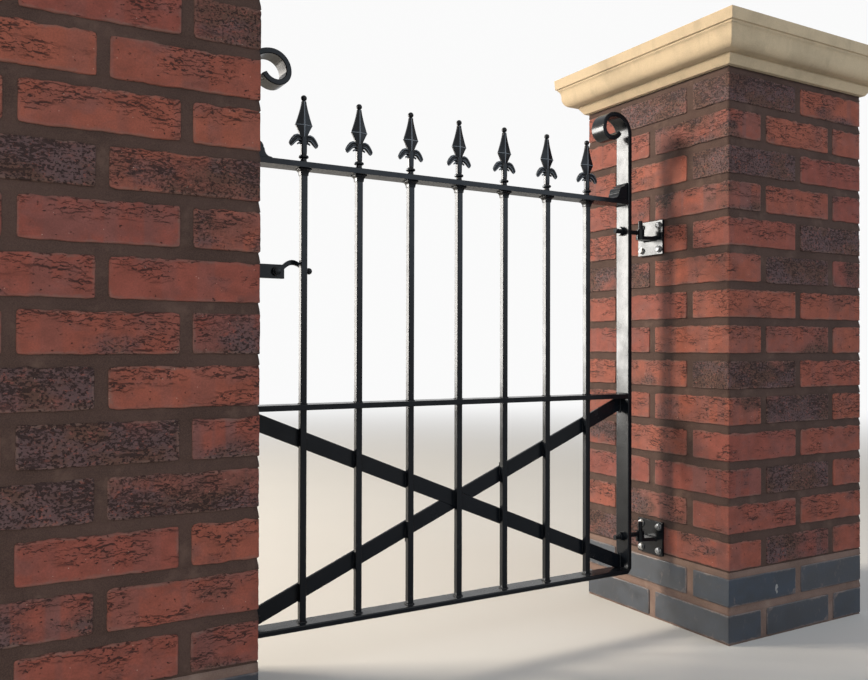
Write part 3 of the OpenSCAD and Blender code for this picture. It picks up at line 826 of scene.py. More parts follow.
def mortar_finish(name, colour, grit):
    """Struck sand mortar with damp and lime patches, grit and drag marks"""
    graph = Finish(name)
    sand = graph.noise(650.0, roughness=0.7)
    damp = graph.ramp(graph.noise(9.0, detail=4.0, roughness=0.6), 0.35, 0.68)
    deep = graph.mix(damp, colour, [c * 0.66 for c in colour])
    lime = graph.ramp(graph.noise(17.0, detail=5.0, roughness=0.65), 0.54, 0.70)
    deep = graph.mix(graph.times(lime, 0.45), deep, grit)
    graph.cover(graph.mix(graph.line(sand, 0.35, 0.65, 0.0, 0.34), deep, grit), 0.94, 0.2)
    graph.bump(graph.times_plus(sand, 0.4, graph.grain(45, 45, 130, detail=4.0)), 0.6, 0.9 * MM)
    return graph.material


def lay_bricks(sizes, kind, courses, divisions, tree, values, finish, mortar, nodes):
    """Lays courses of one kind of brick round their mortar, on both piers"""
    blocks = block_collection(f"{kind}_block", brick_shapes(sizes, f"{kind}_block", *divisions))
    for side, label in SIDE_NAMES.items():
        node, core_name = (f"{label}_{part}" for part in nodes)
        name = f"{label}_pier_{kind}_bricks"
        bricks = put_in_scene(name, wall_points(sizes, name, side, courses))
        run_tree(bricks, tree, {"Finish": finish, "Blocks": blocks, **values})
        dress(bricks, finish, "piers", f"{kind}_brick", node)
        dress(mortar_core(core_name, side, courses, sizes), mortar, "piers", f"{kind}_brick", node)
    drop_collection(blocks)


class GATE_OT_lay_red_bricks(bpy.types.Operator):
    """Lays the rustic red bricks of both piers round their mortar"""

    bl_idname = "gate.lay_red_bricks"
    bl_label = "Lay red bricks"

    def execute(self, context):
        sizes = context.scene.gate_brickwork
        height = sizes.brick_height + sizes.joint
        courses = range(round((PIER_TOP - PLINTH_TOP) / height))
        depths = {"Warp": sizes.warp, "Ragged": sizes.ragged, "Crease depth": sizes.crease_depth,
                  "Pit depth": sizes.pit_depth}
        lay_bricks(sizes, "red", courses, (28, 13, 17), rustic_brick_tree(), depths,
                   rustic_brick_finish(sizes),
                   mortar_finish("buff_grey_mortar", sizes.mortar, sizes.grit),
                   ("pier_brickwork", "pier_mortar"))
        return {"FINISHED"}


class GATE_OT_lay_blue_bricks(bpy.types.Operator):
    """Lays the blue engineering bricks at the foot of both piers"""

    bl_idname = "gate.lay_blue_bricks"
    bl_label = "Lay blue bricks"

    def execute(self, context):
        sizes = context.scene.gate_brickwork
        height = sizes.brick_height + sizes.joint
        courses = range(round((PIER_TOP - PLINTH_TOP) / height), round(PIER_TOP / height))
        lay_bricks(sizes, "blue", courses, (16, 8, 6), engineering_brick_tree(),
                   {"Warp": sizes.blue_warp}, engineering_brick_finish(sizes),
                   mortar_finish("pink_buff_mortar", sizes.plinth_mortar, sizes.plinth_grit),
                   ("pier_plinth", "plinth_mortar"))
        return {"FINISHED"}


# Pier caps

# In millimetres, overhang past the brickwork and height above it: the lower fascia with its
# drip, and the upper fascia
CAP_FOOT = [(8, 0), (20, 17.4), (17.2, 18.2), (17.2, 21)]
CAP_FASCIA = [(56, 67), (60, 67), (62, 91)]

# Overhang and height where the bulge and the hollow over it begin, with their reach and rise
CAP_BULGE = (31, 21, 18, 24)
CAP_HOLLOW = (49, 45, 7, 18)

# Half the cap's width at its top edge, and the rise of the weathered top
CAP_HALF = 282
CAP_RISE = 18


def cap_outline():
    """Overhang and height of the cap's side, from the underside to the top edge"""
    turns = [QUARTER * i / 10 for i in range(11)]
    out, z, reach, rise = CAP_BULGE
    bulge = [(out + reach * math.sin(a), z + rise * (1 - math.cos(a))) for a in turns]
    out, z, reach, rise = CAP_HOLLOW
    hollow = [(out + reach * (1 - math.cos(a)), z + rise * math.sin(a)) for a in turns[1:]]
    return CAP_FOOT + bulge + hollow + CAP_FASCIA


def cap_mesh(name, node):
    """Cast stone cap, mitred round the square and weathered to a low point"""
    low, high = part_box(node)
    middle = (low + high) / 2
    edge, top = CAP_FASCIA[-1]
    underside = [(PIER_HALF / MM * -0.1, 0)]
    slope = [(edge - CAP_HALF * t, top + CAP_RISE * t) for t in (0.2, 0.45, 0.7, 0.93)]
    bm = bmesh.new()
    loft(bm, [square_loop(middle.x, PIER_HALF + over * MM, PIER_TOP + z * MM, 24)
              for over, z in underside + cap_outline() + slope])
    return mesh_from(bm, name)


def cast_stone_finish(sizes):
    """Fine grained cream cast stone with cloudy and running stains and small voids darkened with
    painted shade
    """
    graph = Finish("cream_cast_stone")
    grain = graph.noise(520.0, detail=3.0, roughness=0.7)
    cloud = graph.noise(7.0, detail=6.0, roughness=0.62)
    run = graph.grain(34, 34, 5, detail=4.0, roughness=0.6)
    stain = graph.plus(graph.times(graph.ramp(cloud, 0.46, 0.68), 0.42),
                       graph.times(graph.ramp(run, 0.54, 0.72), 0.25))
    colour = graph.mix(stain, sizes.stone, sizes.stain)
    colour = graph.shaded(colour, graph.line(grain, 0.3, 0.7, 0.90, 1.08))
    # Painted shade: the small voids are darkened
    hole = graph.ramp(graph.cells(graph.place, 260.0), 0.05, 0.13, 1.0, 0.0)
    hole = graph.times(hole, graph.ramp(graph.noise(21.0), 0.5, 0.62))
    graph.cover(graph.mix(graph.times(hole, 0.6), colour, STONE_VOID), 0.86, 0.3)
    graph.bump(graph.times_plus(hole, -1.2, grain), 0.35, 0.7 * MM)
    return graph.material


class GATE_OT_cast_caps(bpy.types.Operator):
    """Casts the moulded caps of both piers"""

    bl_idname = "gate.cast_caps"
    bl_label = "Cast caps"

    def execute(self, context):
        sizes = context.scene.gate_caps
        finish = cast_stone_finish(sizes)
        for label in SIDE_NAMES.values():
            name = f"{label}_cap_stone"
            node = f"{label}_pier_cap"
            cap = put_in_scene(name, cap_mesh(name, node))
            soften(cap, sizes.edge_round, 28.0)
            dress(cap, finish, "piers", "cast_stone", node)
        return {"FINISHED"}


# Ironwork

# Crest at which the painted highlight on the paint begins, and how far past it the leaves' bulges go
CREST_START = 0.8
LEAF_CREST = 0.16


def black_paint_finish(sizes):
    """Satin black paint with a faint brushed wave, settled dust, dull ends and a painted highlight on
    the crests
    """
    graph = Finish("satin_black_paint")
    wave = graph.noise(34.0, detail=3.0)
    normal = graph.node("ShaderNodeNewGeometry").outputs["Normal"]
    up = graph.add("ShaderNodeSeparateXYZ", {0: normal}, out=2)
    settled = graph.noise(22.0, detail=3.0, roughness=0.55)
    dusty = graph.times(graph.ramp(up, 0.2, 0.95), graph.ramp(settled, 0.35, 0.7))
    specks = graph.ramp(graph.noise(230.0, detail=3.0, roughness=0.7), 0.62, 0.74)
    dust = graph.plus(graph.times(dusty, 0.22), graph.times(specks, 0.12), clamp=True)
    # Painted highlight: the crests are made paler and bluer
    crest = graph.times(graph.ramp(graph.attribute("crest"), CREST_START, 1.0), 0.85)
    colour = graph.mix(crest, graph.mix(dust, sizes.paint, sizes.dust), CREST_HIGHLIGHT)
    rough = graph.times_plus(dust, 0.25, graph.line(wave, 0.3, 0.7, 0.17, 0.28))
    graph.cover(colour, graph.times_plus(graph.attribute("dull"), 0.5, rough), 0.21)
    graph.bump(graph.times_plus(graph.noise(420.0), 0.12, wave), 0.09, 1.2 * MM)
    return graph.material


def bolt_steel_finish():
    """Zinc of the bolt heads with what is left of the black paint over it"""
    graph = Finish("worn_bolt_heads")
    left = graph.noise(260.0, detail=4.0, roughness=0.65)
    bare = graph.ramp(left, 0.36, 0.58)
    graph.cover(graph.mix(bare, BOLT_PAINT, BOLT_ZINC), graph.line(bare, 0.0, 1.0, 0.30, 0.46),
                metallic=graph.times(bare, 0.55))
    graph.bump(left, 0.25, 0.3 * MM)
    return graph.material


def paint():
    """The ironwork's one paint, made the first time it is asked for"""
    made = bpy.data.materials.get("satin_black_paint")
    return made or black_paint_finish(bpy.context.scene.gate_iron)


def dress_iron(piece, body, *nodes):
    dress(piece, paint(), body, "black_paint", *nodes)


def node_copy(node, name):
    """Copy of a node's mesh with its corners joined and its flats made whole"""
    mesh = frame["nodes"][node].data.copy()
    bm = bmesh.new()
    bm.from_mesh(mesh)
    bmesh.ops.remove_doubles(bm, verts=bm.verts, dist=2e-6)
    bmesh.ops.dissolve_limit(bm, angle_limit=math.radians(0.6), verts=bm.verts, edges=bm.edges)
    bm.to_mesh(mesh)
    bm.free()
    mesh.name = name
    for label in [a.name for a in mesh.attributes if a.name == "custom_normal"]:
        mesh.attributes.remove(mesh.attributes[label])
    return put_in_scene(name, mesh)


def repeat_shape(name, meshes, places, turns, kinds=None):
    """One mesh with a copy of a shape on every place, each turned by its own angles"""
    tree = bpy.data.node_groups.get("repeated_fittings")
    if tree is None:
        tree, graph, inputs = new_tree("repeated_fittings")
        close_tree(graph, place_blocks(graph, inputs), inputs["Finish"])
    blocks = block_collection(f"{name}_block", meshes)
    kinds = kinds or [0.0] * len(places)
    piece = put_in_scene(name, line_mesh(name, places, kind=kinds, turn=turns))
    run_tree(piece, tree, {"Finish": paint(), "Blocks": blocks})
    drop_collection(blocks)
    return piece


# Nodes whose own shape is painted, with their edges rounded
SOFTENED = {
    "piers": ["upper_hinge_plate", "lower_hinge_plate", "upper_hinge_pin", "lower_hinge_pin",
              "latch_catch"],
    "gate": ["top_rail", "middle_rail", "bottom_rail", "long_brace", "upper_half_brace",
             "lower_half_brace", "latch_side_bracket", "hinge_side_bracket", "upper_eye_bolt",
             "lower_eye_bolt", "latch_plate", "latch_pivot"]
    + [f"bar_{i}" for i in range(1, 8)],
    "latch": ["latch_lever"],
}


class GATE_OT_paint_bars(bpy.types.Operator):
    """Rounds the edges of the bars, rails, braces, hinges and latch and paints them"""

    bl_idname = "gate.paint_bars"
    bl_label = "Paint bars and fittings"

    def execute(self, context):
        width = context.scene.gate_iron.edge_round
        for body, nodes in SOFTENED.items():
            for node in nodes:
                piece = node_copy(node, f"{node}_painted")
                soften(piece, width * (1.6 if node.endswith("_rail") else 1.0), segments=3)
                if node.endswith("_eye_bolt"):
                    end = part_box(node)[0].x + 1.5 * MM
                    store(piece.data, "dull", [v.co.x < end for v in piece.data.vertices])
                dress_iron(piece, body, node)
        return {"FINISHED"}


# Radii of the stile's outer face in the four bends of its scroll, in millimetres
SCROLL_RADII = (46, 37, 26, 32)


def stile_path():
    """Middle line of a stile and its scroll, as offset from its outer face and height"""
    first, second, third, fourth = SCROLL_RADII
    rise = SCROLL_TOP / MM - first
    eye = rise + first - second
    inner = first + second - third
    half = FRAME_BAR / MM / 2
    path = [(half, BOTTOM_RAIL[1].z / MM), (half, 320.0), (half, 640.0), (half, rise)]
    for cx, cz, radius, start, end in [
            (first, rise, first, 180, 90), (first, eye, second, 90, 0), (inner, eye, third, 0, -90),
            (inner, eye - third + fourth, fourth, -90, -152)]:
        steps = max(6, round(abs(end - start) / 6))
        for k in range(1, steps + 1):
            angle = math.radians(start + (end - start) * k / steps)
            path.append((cx + (radius - half) * math.cos(angle),
                         cz + (radius - half) * math.sin(angle)))
    return path


def flat_bar_rings(points, deep):
    """Sections of a flat bar on edge along its middle line"""
    rings = []
    for i, point in enumerate(points):
        before, after = points[max(i - 1, 0)], points[min(i + 1, len(points) - 1)]
        thick = (after - before).normalized().cross(Vector((0, 1, 0))) * FRAME_BAR / 2
        rings.append([point - thick - deep, point + thick - deep, point + thick + deep,
                      point - thick + deep])
    return rings


class GATE_OT_bend_stiles(bpy.types.Operator):
    """Bends the flat bar of both stiles into their scrolls"""

    bl_idname = "gate.bend_stiles"
    bl_label = "Bend stiles"

    def execute(self, context):
        for node, mirror in (("latch_stile", 1), ("hinge_stile", -1)):
            low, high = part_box(node)
            outer = low.x if mirror == 1 else high.x
            points = [Vector((outer + mirror * x * MM, 0.0, z * MM)) for x, z in stile_path()]
            bm = bmesh.new()
            loft(bm, flat_bar_rings(points, Vector((0, high.y, 0))))
            piece = put_in_scene(f"{node}_scrolled", mesh_from(bm, node))
            soften(piece, context.scene.gate_iron.edge_round * 1.3)
            dress_iron(piece, "gate", node)
        return {"FINISHED"}


# Railheads, in millimetres above the top rail

# Path of each leaf lobe over the crown, and its half width and half depth at each point
LEAF_LOBES = [
    ([(2, 44), (6.5, 48.8), (12, 50.2), (17, 48.2), (21, 43.8), (24.4, 38.6), (27.0, 34.2)],
     [2.2, 2.6, 2.7, 2.7, 2.6, 2.4, 1.7], [2.9, 3.6, 3.9, 3.9, 3.5, 2.9, 1.8]),
    ([(3, 39.5), (8, 42.4), (12.6, 41.9), (16.4, 38.9), (19.8, 34.9), (22.6, 31.8), (24.6, 30.4)],
     [2.2, 2.5, 2.5, 2.4, 2.2, 2.0, 1.5], [3.2, 3.9, 4.0, 3.8, 3.3, 2.7, 1.7]),
    ([(3, 34.5), (6.5, 37.0), (10, 36.2), (12.4, 34.0)],
     [1.7, 2.0, 1.8, 1.1], [3.4, 3.6, 3.1, 1.6]),
    ([(2, 40), (8, 44.4), (13, 44.6), (17, 42), (20.8, 38), (24.0, 34.0), (26.4, 31.8)],
     [4.4, 4.8, 4.8, 4.4, 4.0, 3.2, 1.6], [2.1] * 6 + [1.4]),
]

# Half width, half depth and height of the stem, and the plan that its corners follow
STEM_LEVELS = [(4.6, 4.0, 15), (5.2, 4.5, 18), (5.4, 4.7, 24), (5.4, 4.7, 48)]
STEM_PLAN = [(-1, -0.7), (-0.7, -1), (0.7, -1), (1, -0.7), (1, 0.7), (0.7, 1), (-0.7, 1), (-1, 0.7)]
BALL_RADIUS = 5.5


def foot_and_ring():
    """Radius and height of the turned foot and ring"""
    flare = [(5.6 + 3.4 * (1 - math.sin(a)), 1.2 + 6.4 * (1 - math.cos(a)))
             for a in [QUARTER * k / 6 for k in range(7)]]
    return [(9.0, 0.0)] + flare + [(5.6, 9.0), (7.6, 9.6), (9.0, 10.6), (9.25, 12.0),
                                   (9.0, 13.4), (7.6, 14.5), (5.2, 15.2), (5.0, 18.0)]


def ball_profile():
    """Radius and height of the ball on the blade's point"""
    turns = [math.pi * k / 12 for k in range(13)]
    return [(BALL_RADIUS * math.sin(a) + 0.02, HEAD_TALL - BALL_RADIUS - BALL_RADIUS * math.cos(a))
            for a in turns]


def swept_lobe(bm, path, across, deep, mirror, segments=12):
    """Rounded lobe along a line in the leaf's plane, with a width at each point"""
    rings = []
    for i, (x, z) in enumerate(path):
        x0, z0 = path[max(i - 1, 0)]
        x1, z1 = path[min(i + 1, len(path) - 1)]
        along = Vector((x1 - x0, 0.0, z1 - z0)).normalized()
        side = along.cross(Vector((0, 1, 0)))
        ring = []
        for k in range(segments):
            angle = 2 * math.pi * k / segments
            spot = (Vector((x, 0.0, z)) + side * across[i] * math.cos(angle)
                    + Vector((0, deep[i] * math.sin(angle), 0)))
            ring.append(Vector((spot.x * mirror, spot.y, spot.z)) * MM)
        rings.append(ring)
    loft(bm, rings)


def casting_skin(piece):
    """Joins overlapping solids into one cast skin and fettles it"""
    skin = piece.modifiers.new("skin", "REMESH")
    skin.mode = "VOXEL"
    skin.voxel_size = 0.5 * MM
    smooth = piece.modifiers.new("fettle", "SMOOTH")
    smooth.factor = 0.5
    smooth.iterations = 2
    thin = piece.modifiers.new("thin", "DECIMATE")
    thin.ratio = 0.34
    return settle_modifiers(piece)


def mark_crests(mesh):
    """Stores how sharply the leaves bulge at each vertex, as the mask of the paint's painted
    highlight on the crests
    """
    bm = bmesh.new()
    bm.from_mesh(mesh)
    bm.normal_update()
    crests = []
    for vert in bm.verts:
        steps = [edge.other_vert(vert).co - vert.co for edge in vert.link_edges]
        lean = -sum((step.normalized().dot(vert.normal) for step in steps), 0.0)
        crests.append(lean / max(len(steps), 1))
    for _ in range(3):
        crests = [(crests[vert.index] + sum(crests[edge.other_vert(vert).index]
                                            for edge in vert.link_edges))
                  / (1 + len(vert.link_edges)) for vert in bm.verts]
    outward = [min(max(abs(vert.co.x) / (4 * MM) - 1.4, 0.0), 1.0) for vert in bm.verts]
    bm.free()
    store(mesh, "crest", [
        CREST_START + LEAF_CREST * out * min(max((crest - 0.028) * 22.0, 0.0), 1.0)
        for crest, out in zip(crests, outward)])


def blade_mesh():
    """Four-faced spear blade with a raised rib at its shoulders"""
    # Height, half width, and half thickness of the edges and of the ridge
    lower = [(45.5 + 22.5 * u, 5.2 + 10.4 * u ** 1.15, 2.2 - 0.3 * u, 4.4 + 0.8 * u)
             for u in [k / 6 for k in range(7)]]
    rib = [(68.5, 16.3, 2.4, 5.7), (69.5, 16.3, 2.4, 5.7)]
    upper = [(70.0 + (HEAD_TALL - 70 - 2 * BALL_RADIUS) * u, 4.0 + 11.6 * (1 - u) ** 1.3,
              1.9 + 0.3 * u, 5.2 - 1.5 * u) for u in [k / 8 for k in range(9)]]
    bm = bmesh.new()
    loft(bm, [[Vector((x, y, z)) * MM for x, y in
               [(-wide, -edge), (0, -ridge), (wide, -edge), (wide, edge), (0, ridge), (-wide, edge)]]
              for z, wide, edge, ridge in lower + rib + upper])
    return mesh_from(bm, "blade")


def railhead_mesh():
    """One cast spear with its ball, drooping lobed leaves, ring and foot"""
    bm = bmesh.new()
    for profile in (foot_and_ring(), ball_profile()):
        loft(bm, [round_ring(radius, z, 28) for radius, z in profile])
    loft(bm, [[Vector((x * wide, y * deep, z)) * MM for x, y in STEM_PLAN]
              for wide, deep, z in STEM_LEVELS])
    for mirror in (1, -1):
        for path, across, deep in LEAF_LOBES:
            swept_lobe(bm, path, across, deep, mirror)
    leaves = casting_skin(put_in_scene("leaves", mesh_from(bm, "leaves")))
    mark_crests(leaves.data)
    blade = soften(put_in_scene("blade", blade_mesh()), 0.5 * MM, 9.0)
    # Painted highlight mask: the blade's ridge and its shoulder rib
    store(blade.data, "crest", [
        max(1.0 - abs(v.co.x) / (6 * MM), float(68.3 * MM < v.co.z < 69.7 * MM))
        for v in blade.data.vertices])
    bm = bmesh.new()
    bm.from_mesh(leaves.data)
    bm.from_mesh(blade.data)
    remove_helpers([leaves, blade])
    return mesh_from(bm, "railhead_casting", smooth=True)


class GATE_OT_cast_railheads(bpy.types.Operator):
    """Casts one railhead and sets a copy on every bar"""

    bl_idname = "gate.cast_railheads"
    bl_label = "Cast railheads"

    def execute(self, context):
        draw = random.Random(11)
        places = [(x, 0.0, TOP_RAIL[1].z) for x in BAR_XS]
        turns = [(0.0, 0.0, draw.uniform(-0.05, 0.05)) for _ in places]
        row = repeat_shape("railheads", [railhead_mesh()], places, turns)
        dress_iron(row, "gate", *[f"railhead_{i}" for i in range(1, 8)])
        return {"FINISHED"}


# Collars, bolts and threads


def square_ring(half, corner, z, steps=3):
    """Square with round corners"""
    ring = []
    for i, (sx, sy) in enumerate(CORNERS):
        for k in range(steps + 1):
            angle = math.radians(180 + 90 * i + 90 * k / steps)
            ring.append(Vector((sx * (half - corner) + corner * math.cos(angle),
                                sy * (half - corner) + corner * math.sin(angle), z)) * MM)
    return ring


def collar_mesh():
    """Square bell that flares up to the underside of the top rail"""
    thin, wide, tall = 7.05, 11.5, 12.0
    steps = 9
    profile = [(6.3, -tall + 0.2), (thin - 0.2, -tall)]
    for k in range(steps + 1):
        a = QUARTER * k / steps
        profile.append((thin + (wide - thin) * (1 - math.cos(a)),
                        -tall + 0.4 + (tall - 2.4) * math.sin(a)))
    profile += [(wide, -0.4), (wide - 0.4, 0.0)]
    bm = bmesh.new()
    loft(bm, [square_ring(half, 1.0, z) for half, z in profile])
    return mesh_from(bm, "collar", smooth=True)


class GATE_OT_press_collars(bpy.types.Operator):
    """Presses one bell collar and threads a copy on every bar"""

    bl_idname = "gate.press_collars"
    bl_label = "Press collars"

    def execute(self, context):
        places = [(x, 0.0, TOP_RAIL[0].z) for x in BAR_XS]
        row = repeat_shape("bell_collars", [collar_mesh()], places, [(0.0, 0.0, 0.0)] * len(places))
        dress_iron(row, "gate", "rail_collars")
        return {"FINISHED"}


def hexagon_ring(across, z, corner_cut=None, segments=36):
    """Ring of a hexagon whose corners may be turned down to a circle"""
    ring = []
    for k in range(segments):
        angle = 2 * math.pi * k / segments
        sector = (angle % (math.pi / 3)) - math.pi / 6
        radius = across / 2 / math.cos(sector)
        if corner_cut:
            radius = min(radius, across / 2 * corner_cut)
        ring.append(Vector((radius * math.cos(angle), radius * math.sin(angle), z)) * MM)
    return ring


def add_washer(bm, outer, thick):
    levels = [(outer - 0.3, 0.0), (outer, 0.3), (outer, thick - 0.3), (outer - 0.3, thick)]
    loft(bm, [round_ring(radius, z) for radius, z in levels])


def bolt_head_mesh(across, spin=0.0):
    """Hexagon bolt head on its washer, facing +Z and turned about its own axis"""
    bm = bmesh.new()
    add_washer(bm, 8.2, 1.3)
    dome = [round_ring(across * 0.46 * math.cos(a), 5.0 + 1.1 * math.sin(a))
            for a in (0.25, 0.6, 0.95, 1.3)]
    loft(bm, [hexagon_ring(across, 1.2), hexagon_ring(across, 4.2),
              hexagon_ring(across, 4.9, 1.04)] + dome)
    return spun(mesh_from(bm, "bolt_head"), spin)


def nut_mesh(across, spin):
    """Hexagon nut with both faces chamfered, on its washer, facing +Z and turned"""
    bm = bmesh.new()
    add_washer(bm, 10.5, 1.6)
    flanks = [(1.6, 0.97), (2.1, 1.06), (2.7, None), (8.5, None), (9.1, 1.06), (9.6, 0.97)]
    loft(bm, [round_ring(5.4, 1.6)] + [hexagon_ring(across, z, cut) for z, cut in flanks]
         + [round_ring(5.4, 9.6)])
    return spun(mesh_from(bm, "nut"), spin)


def spun(mesh, spin):
    if spin:
        mesh.transform(Matrix.Rotation(spin, 4, "Z"))
    return mesh


def thread_ridge():
    """One turn of thread round a hinge bolt, along Z"""
    bm = bmesh.new()
    rings = [round_ring(radius, z, 24) for radius, z in ((4.85, -0.62), (5.32, 0.0), (4.85, 0.62))]
    rows = [[bm.verts.new(p) for p in section] for section in zip(*rings)]
    for one, two in zip(rows, rows[1:] + rows[:1]):
        for i in range(3):
            j = (i + 1) % 3
            bm.faces.new((one[i], one[j], two[j], two[i]))
    return mesh_from(bm, "thread_ridge", smooth=True)


# Thickness of a hinge plate, and distance of its bolts from its middle in millimetres
PLATE_THICK = 6 * MM
BOLT_OFFSET = 27


def fit_plate_bolts(across):
    """Eight worn bolt heads, four on each hinge plate"""
    places = []
    for node in ("upper_hinge_plate", "lower_hinge_plate"):
        low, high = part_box(node)
        middle = (low.z + high.z) / 2
        for y in (-BOLT_OFFSET, BOLT_OFFSET):
            for z in (-BOLT_OFFSET, BOLT_OFFSET):
                places.append((high.x - PLATE_THICK, y * MM, middle + z * MM))
    heads = [bolt_head_mesh(across, spin) for spin in (0.1, 0.45, 0.8)]
    bolts = repeat_shape("hinge_plate_bolts", heads, places, [(0.0, -QUARTER, 0.0)] * 8,
                         [float(i * 2 % 3) for i in range(8)])
    dress(bolts, bolt_steel_finish(), "piers", "black_paint")


def fit_pivot_head(across):
    """Bolt head on the front of the latch pivot"""
    low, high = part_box("latch_pivot")
    front = ((low.x + high.x) / 2, low.y + 0.4 * MM, (low.z + high.z) / 2)
    head = repeat_shape("latch_pivot_head", [bolt_head_mesh(across)], [front],
                        [(QUARTER, 0.0, 0.0)])
    dress_iron(head, "gate")


def fit_eye_bolt(node, across, pitch):
    """Nuts on both faces of the hinge stile, and what shows of the thread past each of them"""
    low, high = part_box(node)
    z = (low.z + high.z) / 2
    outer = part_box("hinge_stile")[1].x
    inner = outer - FRAME_BAR
    shapes = [nut_mesh(across, spin) for spin in (0.35, 0.8)]
    nuts = repeat_shape(f"{node}_chamfered", shapes, [(outer, 0.0, z), (inner, 0.0, z)],
                        [(0.0, QUARTER, 0.0), (0.0, -QUARTER, 0.0)], [0.0, 1.0])
    dress_iron(nuts, "gate", node)
    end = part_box(node.replace("_nuts", "_bolt"))[0].x
    inside, outside = end + 0.9 * MM, outer + 10.2 * MM
    turns = int((inner - 9.8 * MM - inside) / pitch)
    places = [(inside + k * pitch, 0.0, z) for k in range(turns)]
    places += [(outside + k * pitch, 0.0, z) for k in range(5)]
    ridges = repeat_shape(node.replace("_nuts", "_bolt_thread"), [thread_ridge()], places,
                          [(0.0, QUARTER, 0.0)] * len(places))
    dress_iron(ridges, "gate")


class GATE_OT_fit_bolts(bpy.types.Operator):
    """Fits the bolts of the hinge plates and the nuts and threads of the eye bolts"""

    bl_idname = "gate.fit_bolts"
    bl_label = "Fit bolts and nuts"

    def execute(self, context):
        sizes = context.scene.gate_iron
        fit_plate_bolts(sizes.bolt_across / MM)
        fit_pivot_head(sizes.bolt_across / MM * 0.92)
        for node in ("upper_eye_nuts", "lower_eye_nuts"):
            fit_eye_bolt(node, sizes.nut_across / MM, sizes.thread_pitch)
        return {"FINISHED"}


# Welds

BRACE_WIDTH = 30 * MM
HINGE_ARM_HALF = 19 * MM
HINGE_ARM_THICK = 8 * MM


def weld_tree():
    """Lays overlapping ripples along every line, each as wide as its line's leg"""
    tree, graph, inputs = new_tree("weld_runs", ["Pitch"])
    line = graph.add("GeometryNodeMeshToCurve", {"Mesh": inputs["Geometry"]})
    steps = graph.add("GeometryNodeResampleCurve", {
        "Curve": line, "Length": inputs["Pitch"]}, mode="LENGTH")
    blob = graph.add("GeometryNodeMeshUVSphere", {"Segments": 8, "Rings": 5, "Radius": 1.0})
    turn = graph.add("FunctionNodeAlignRotationToVector", {
        "Vector": graph.add("GeometryNodeInputTangent")})
    uneven = graph.node("FunctionNodeRandomValue", {"Seed": 3}, data_type="FLOAT")
    least, most = [socket for socket in uneven.inputs if socket.type == "VALUE"][:2]
    least.default_value, most.default_value = 0.82, 1.18
    random_size = [socket for socket in uneven.outputs if socket.type == "VALUE"][0]
    size = graph.stretched((1.0, 1.0, 0.8), graph.times(graph.named("leg"), random_size))
    laid = graph.add("GeometryNodeInstanceOnPoints", {
        "Points": steps, "Instance": blob, "Rotation": turn, "Scale": size})
    laid = graph.add("GeometryNodeRealizeInstances", {0: laid})
    laid = graph.add("GeometryNodeSetShadeSmooth", {0: laid, "Shade Smooth": True})
    close_tree(graph, laid, inputs["Finish"])
    return tree


# Every weld line is a list of points and the leg of its weld


def bar_weld(x, z, leg):
    """Closed line round a bar"""
    return [(x + sx * BAR_HALF, sy * BAR_HALF, z) for sx, sy in CORNERS + CORNERS[:1]], leg * MM


def level_weld(x, reach, z, leg):
    return [(x, -reach, z), (x, reach, z)], leg * MM


def upright_weld(x, y, low, high, leg):
    return [(x, y, low), (x, y, high)], leg * MM


def brace_ends(low, high, width):
    """Upright width of a sloping brace and the slope of its middle line"""
    upright = width
    for _ in range(8):
        slope = (high.z - low.z - upright) / (high.x - low.x)
        upright = width * math.sqrt(1 + slope * slope)
    return upright, slope


def brace_welds(node, fall):
    """Welds of a brace to the stiles it meets and to the bars it crosses"""
    low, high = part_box(node)
    upright, slope = brace_ends(low, high, BRACE_WIDTH)
    lines = []
    for x in (TOP_RAIL[0].x, TOP_RAIL[1].x):
        if low.x - MM < x < high.x + MM:
            at_top = (x > 0) == (fall > 0)
            foot = high.z - upright if at_top else low.z
            lines += [upright_weld(x, y, foot, foot + upright, 2.1) for y in (low.y, high.y)]
    for bar in BAR_XS:
        if low.x + 12 * MM < bar < high.x - 12 * MM:
            for edge in (bar - BAR_HALF, bar + BAR_HALF):
                share = (edge - low.x) * slope
                foot = low.z + share if fall > 0 else high.z - upright - share
                lines.append(upright_weld(edge, low.y, foot + 4 * MM, foot + upright - 4 * MM, 1.3))
    return lines


def gate_welds():
    """Weld lines of the leaf"""
    deep = TOP_RAIL[1].y
    lines = []
    for x in BAR_XS:
        lines += [bar_weld(x, BOTTOM_RAIL[1].z, 2.3), bar_weld(x, MIDDLE_RAIL[1].z, 1.8),
                  bar_weld(x, MIDDLE_RAIL[0].z, 1.5)]
    for x in (TOP_RAIL[0].x, TOP_RAIL[1].x):
        for z in (TOP_RAIL[0].z, MIDDLE_RAIL[0].z, MIDDLE_RAIL[1].z, BOTTOM_RAIL[1].z):
            lines.append(level_weld(x, deep * 0.95, z, 1.8))
    for node, fall in (("long_brace", -1), ("upper_half_brace", 1), ("lower_half_brace", 1)):
        lines += brace_welds(node, fall)
    for node, end in (("latch_side_bracket", 1), ("hinge_side_bracket", 0)):
        lines.append(level_weld(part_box(node)[end].x, deep * 0.8, TOP_RAIL[1].z, 1.6))
    low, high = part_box("latch_plate")
    return lines + [upright_weld(low.x, y, low.z, high.z, 1.8) for y in (low.y, high.y)]


def hinge_welds():
    """Weld lines of the hinge arms on their plates"""
    lines = []
    for node in ("upper_hinge_plate", "lower_hinge_plate"):
        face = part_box(node)[1].x - PLATE_THICK
        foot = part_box(node.replace("plate", "pin"))[0].z
        lines += [level_weld(face, HINGE_ARM_HALF, z, 2.0) for z in (foot, foot + HINGE_ARM_THICK)]
    return lines


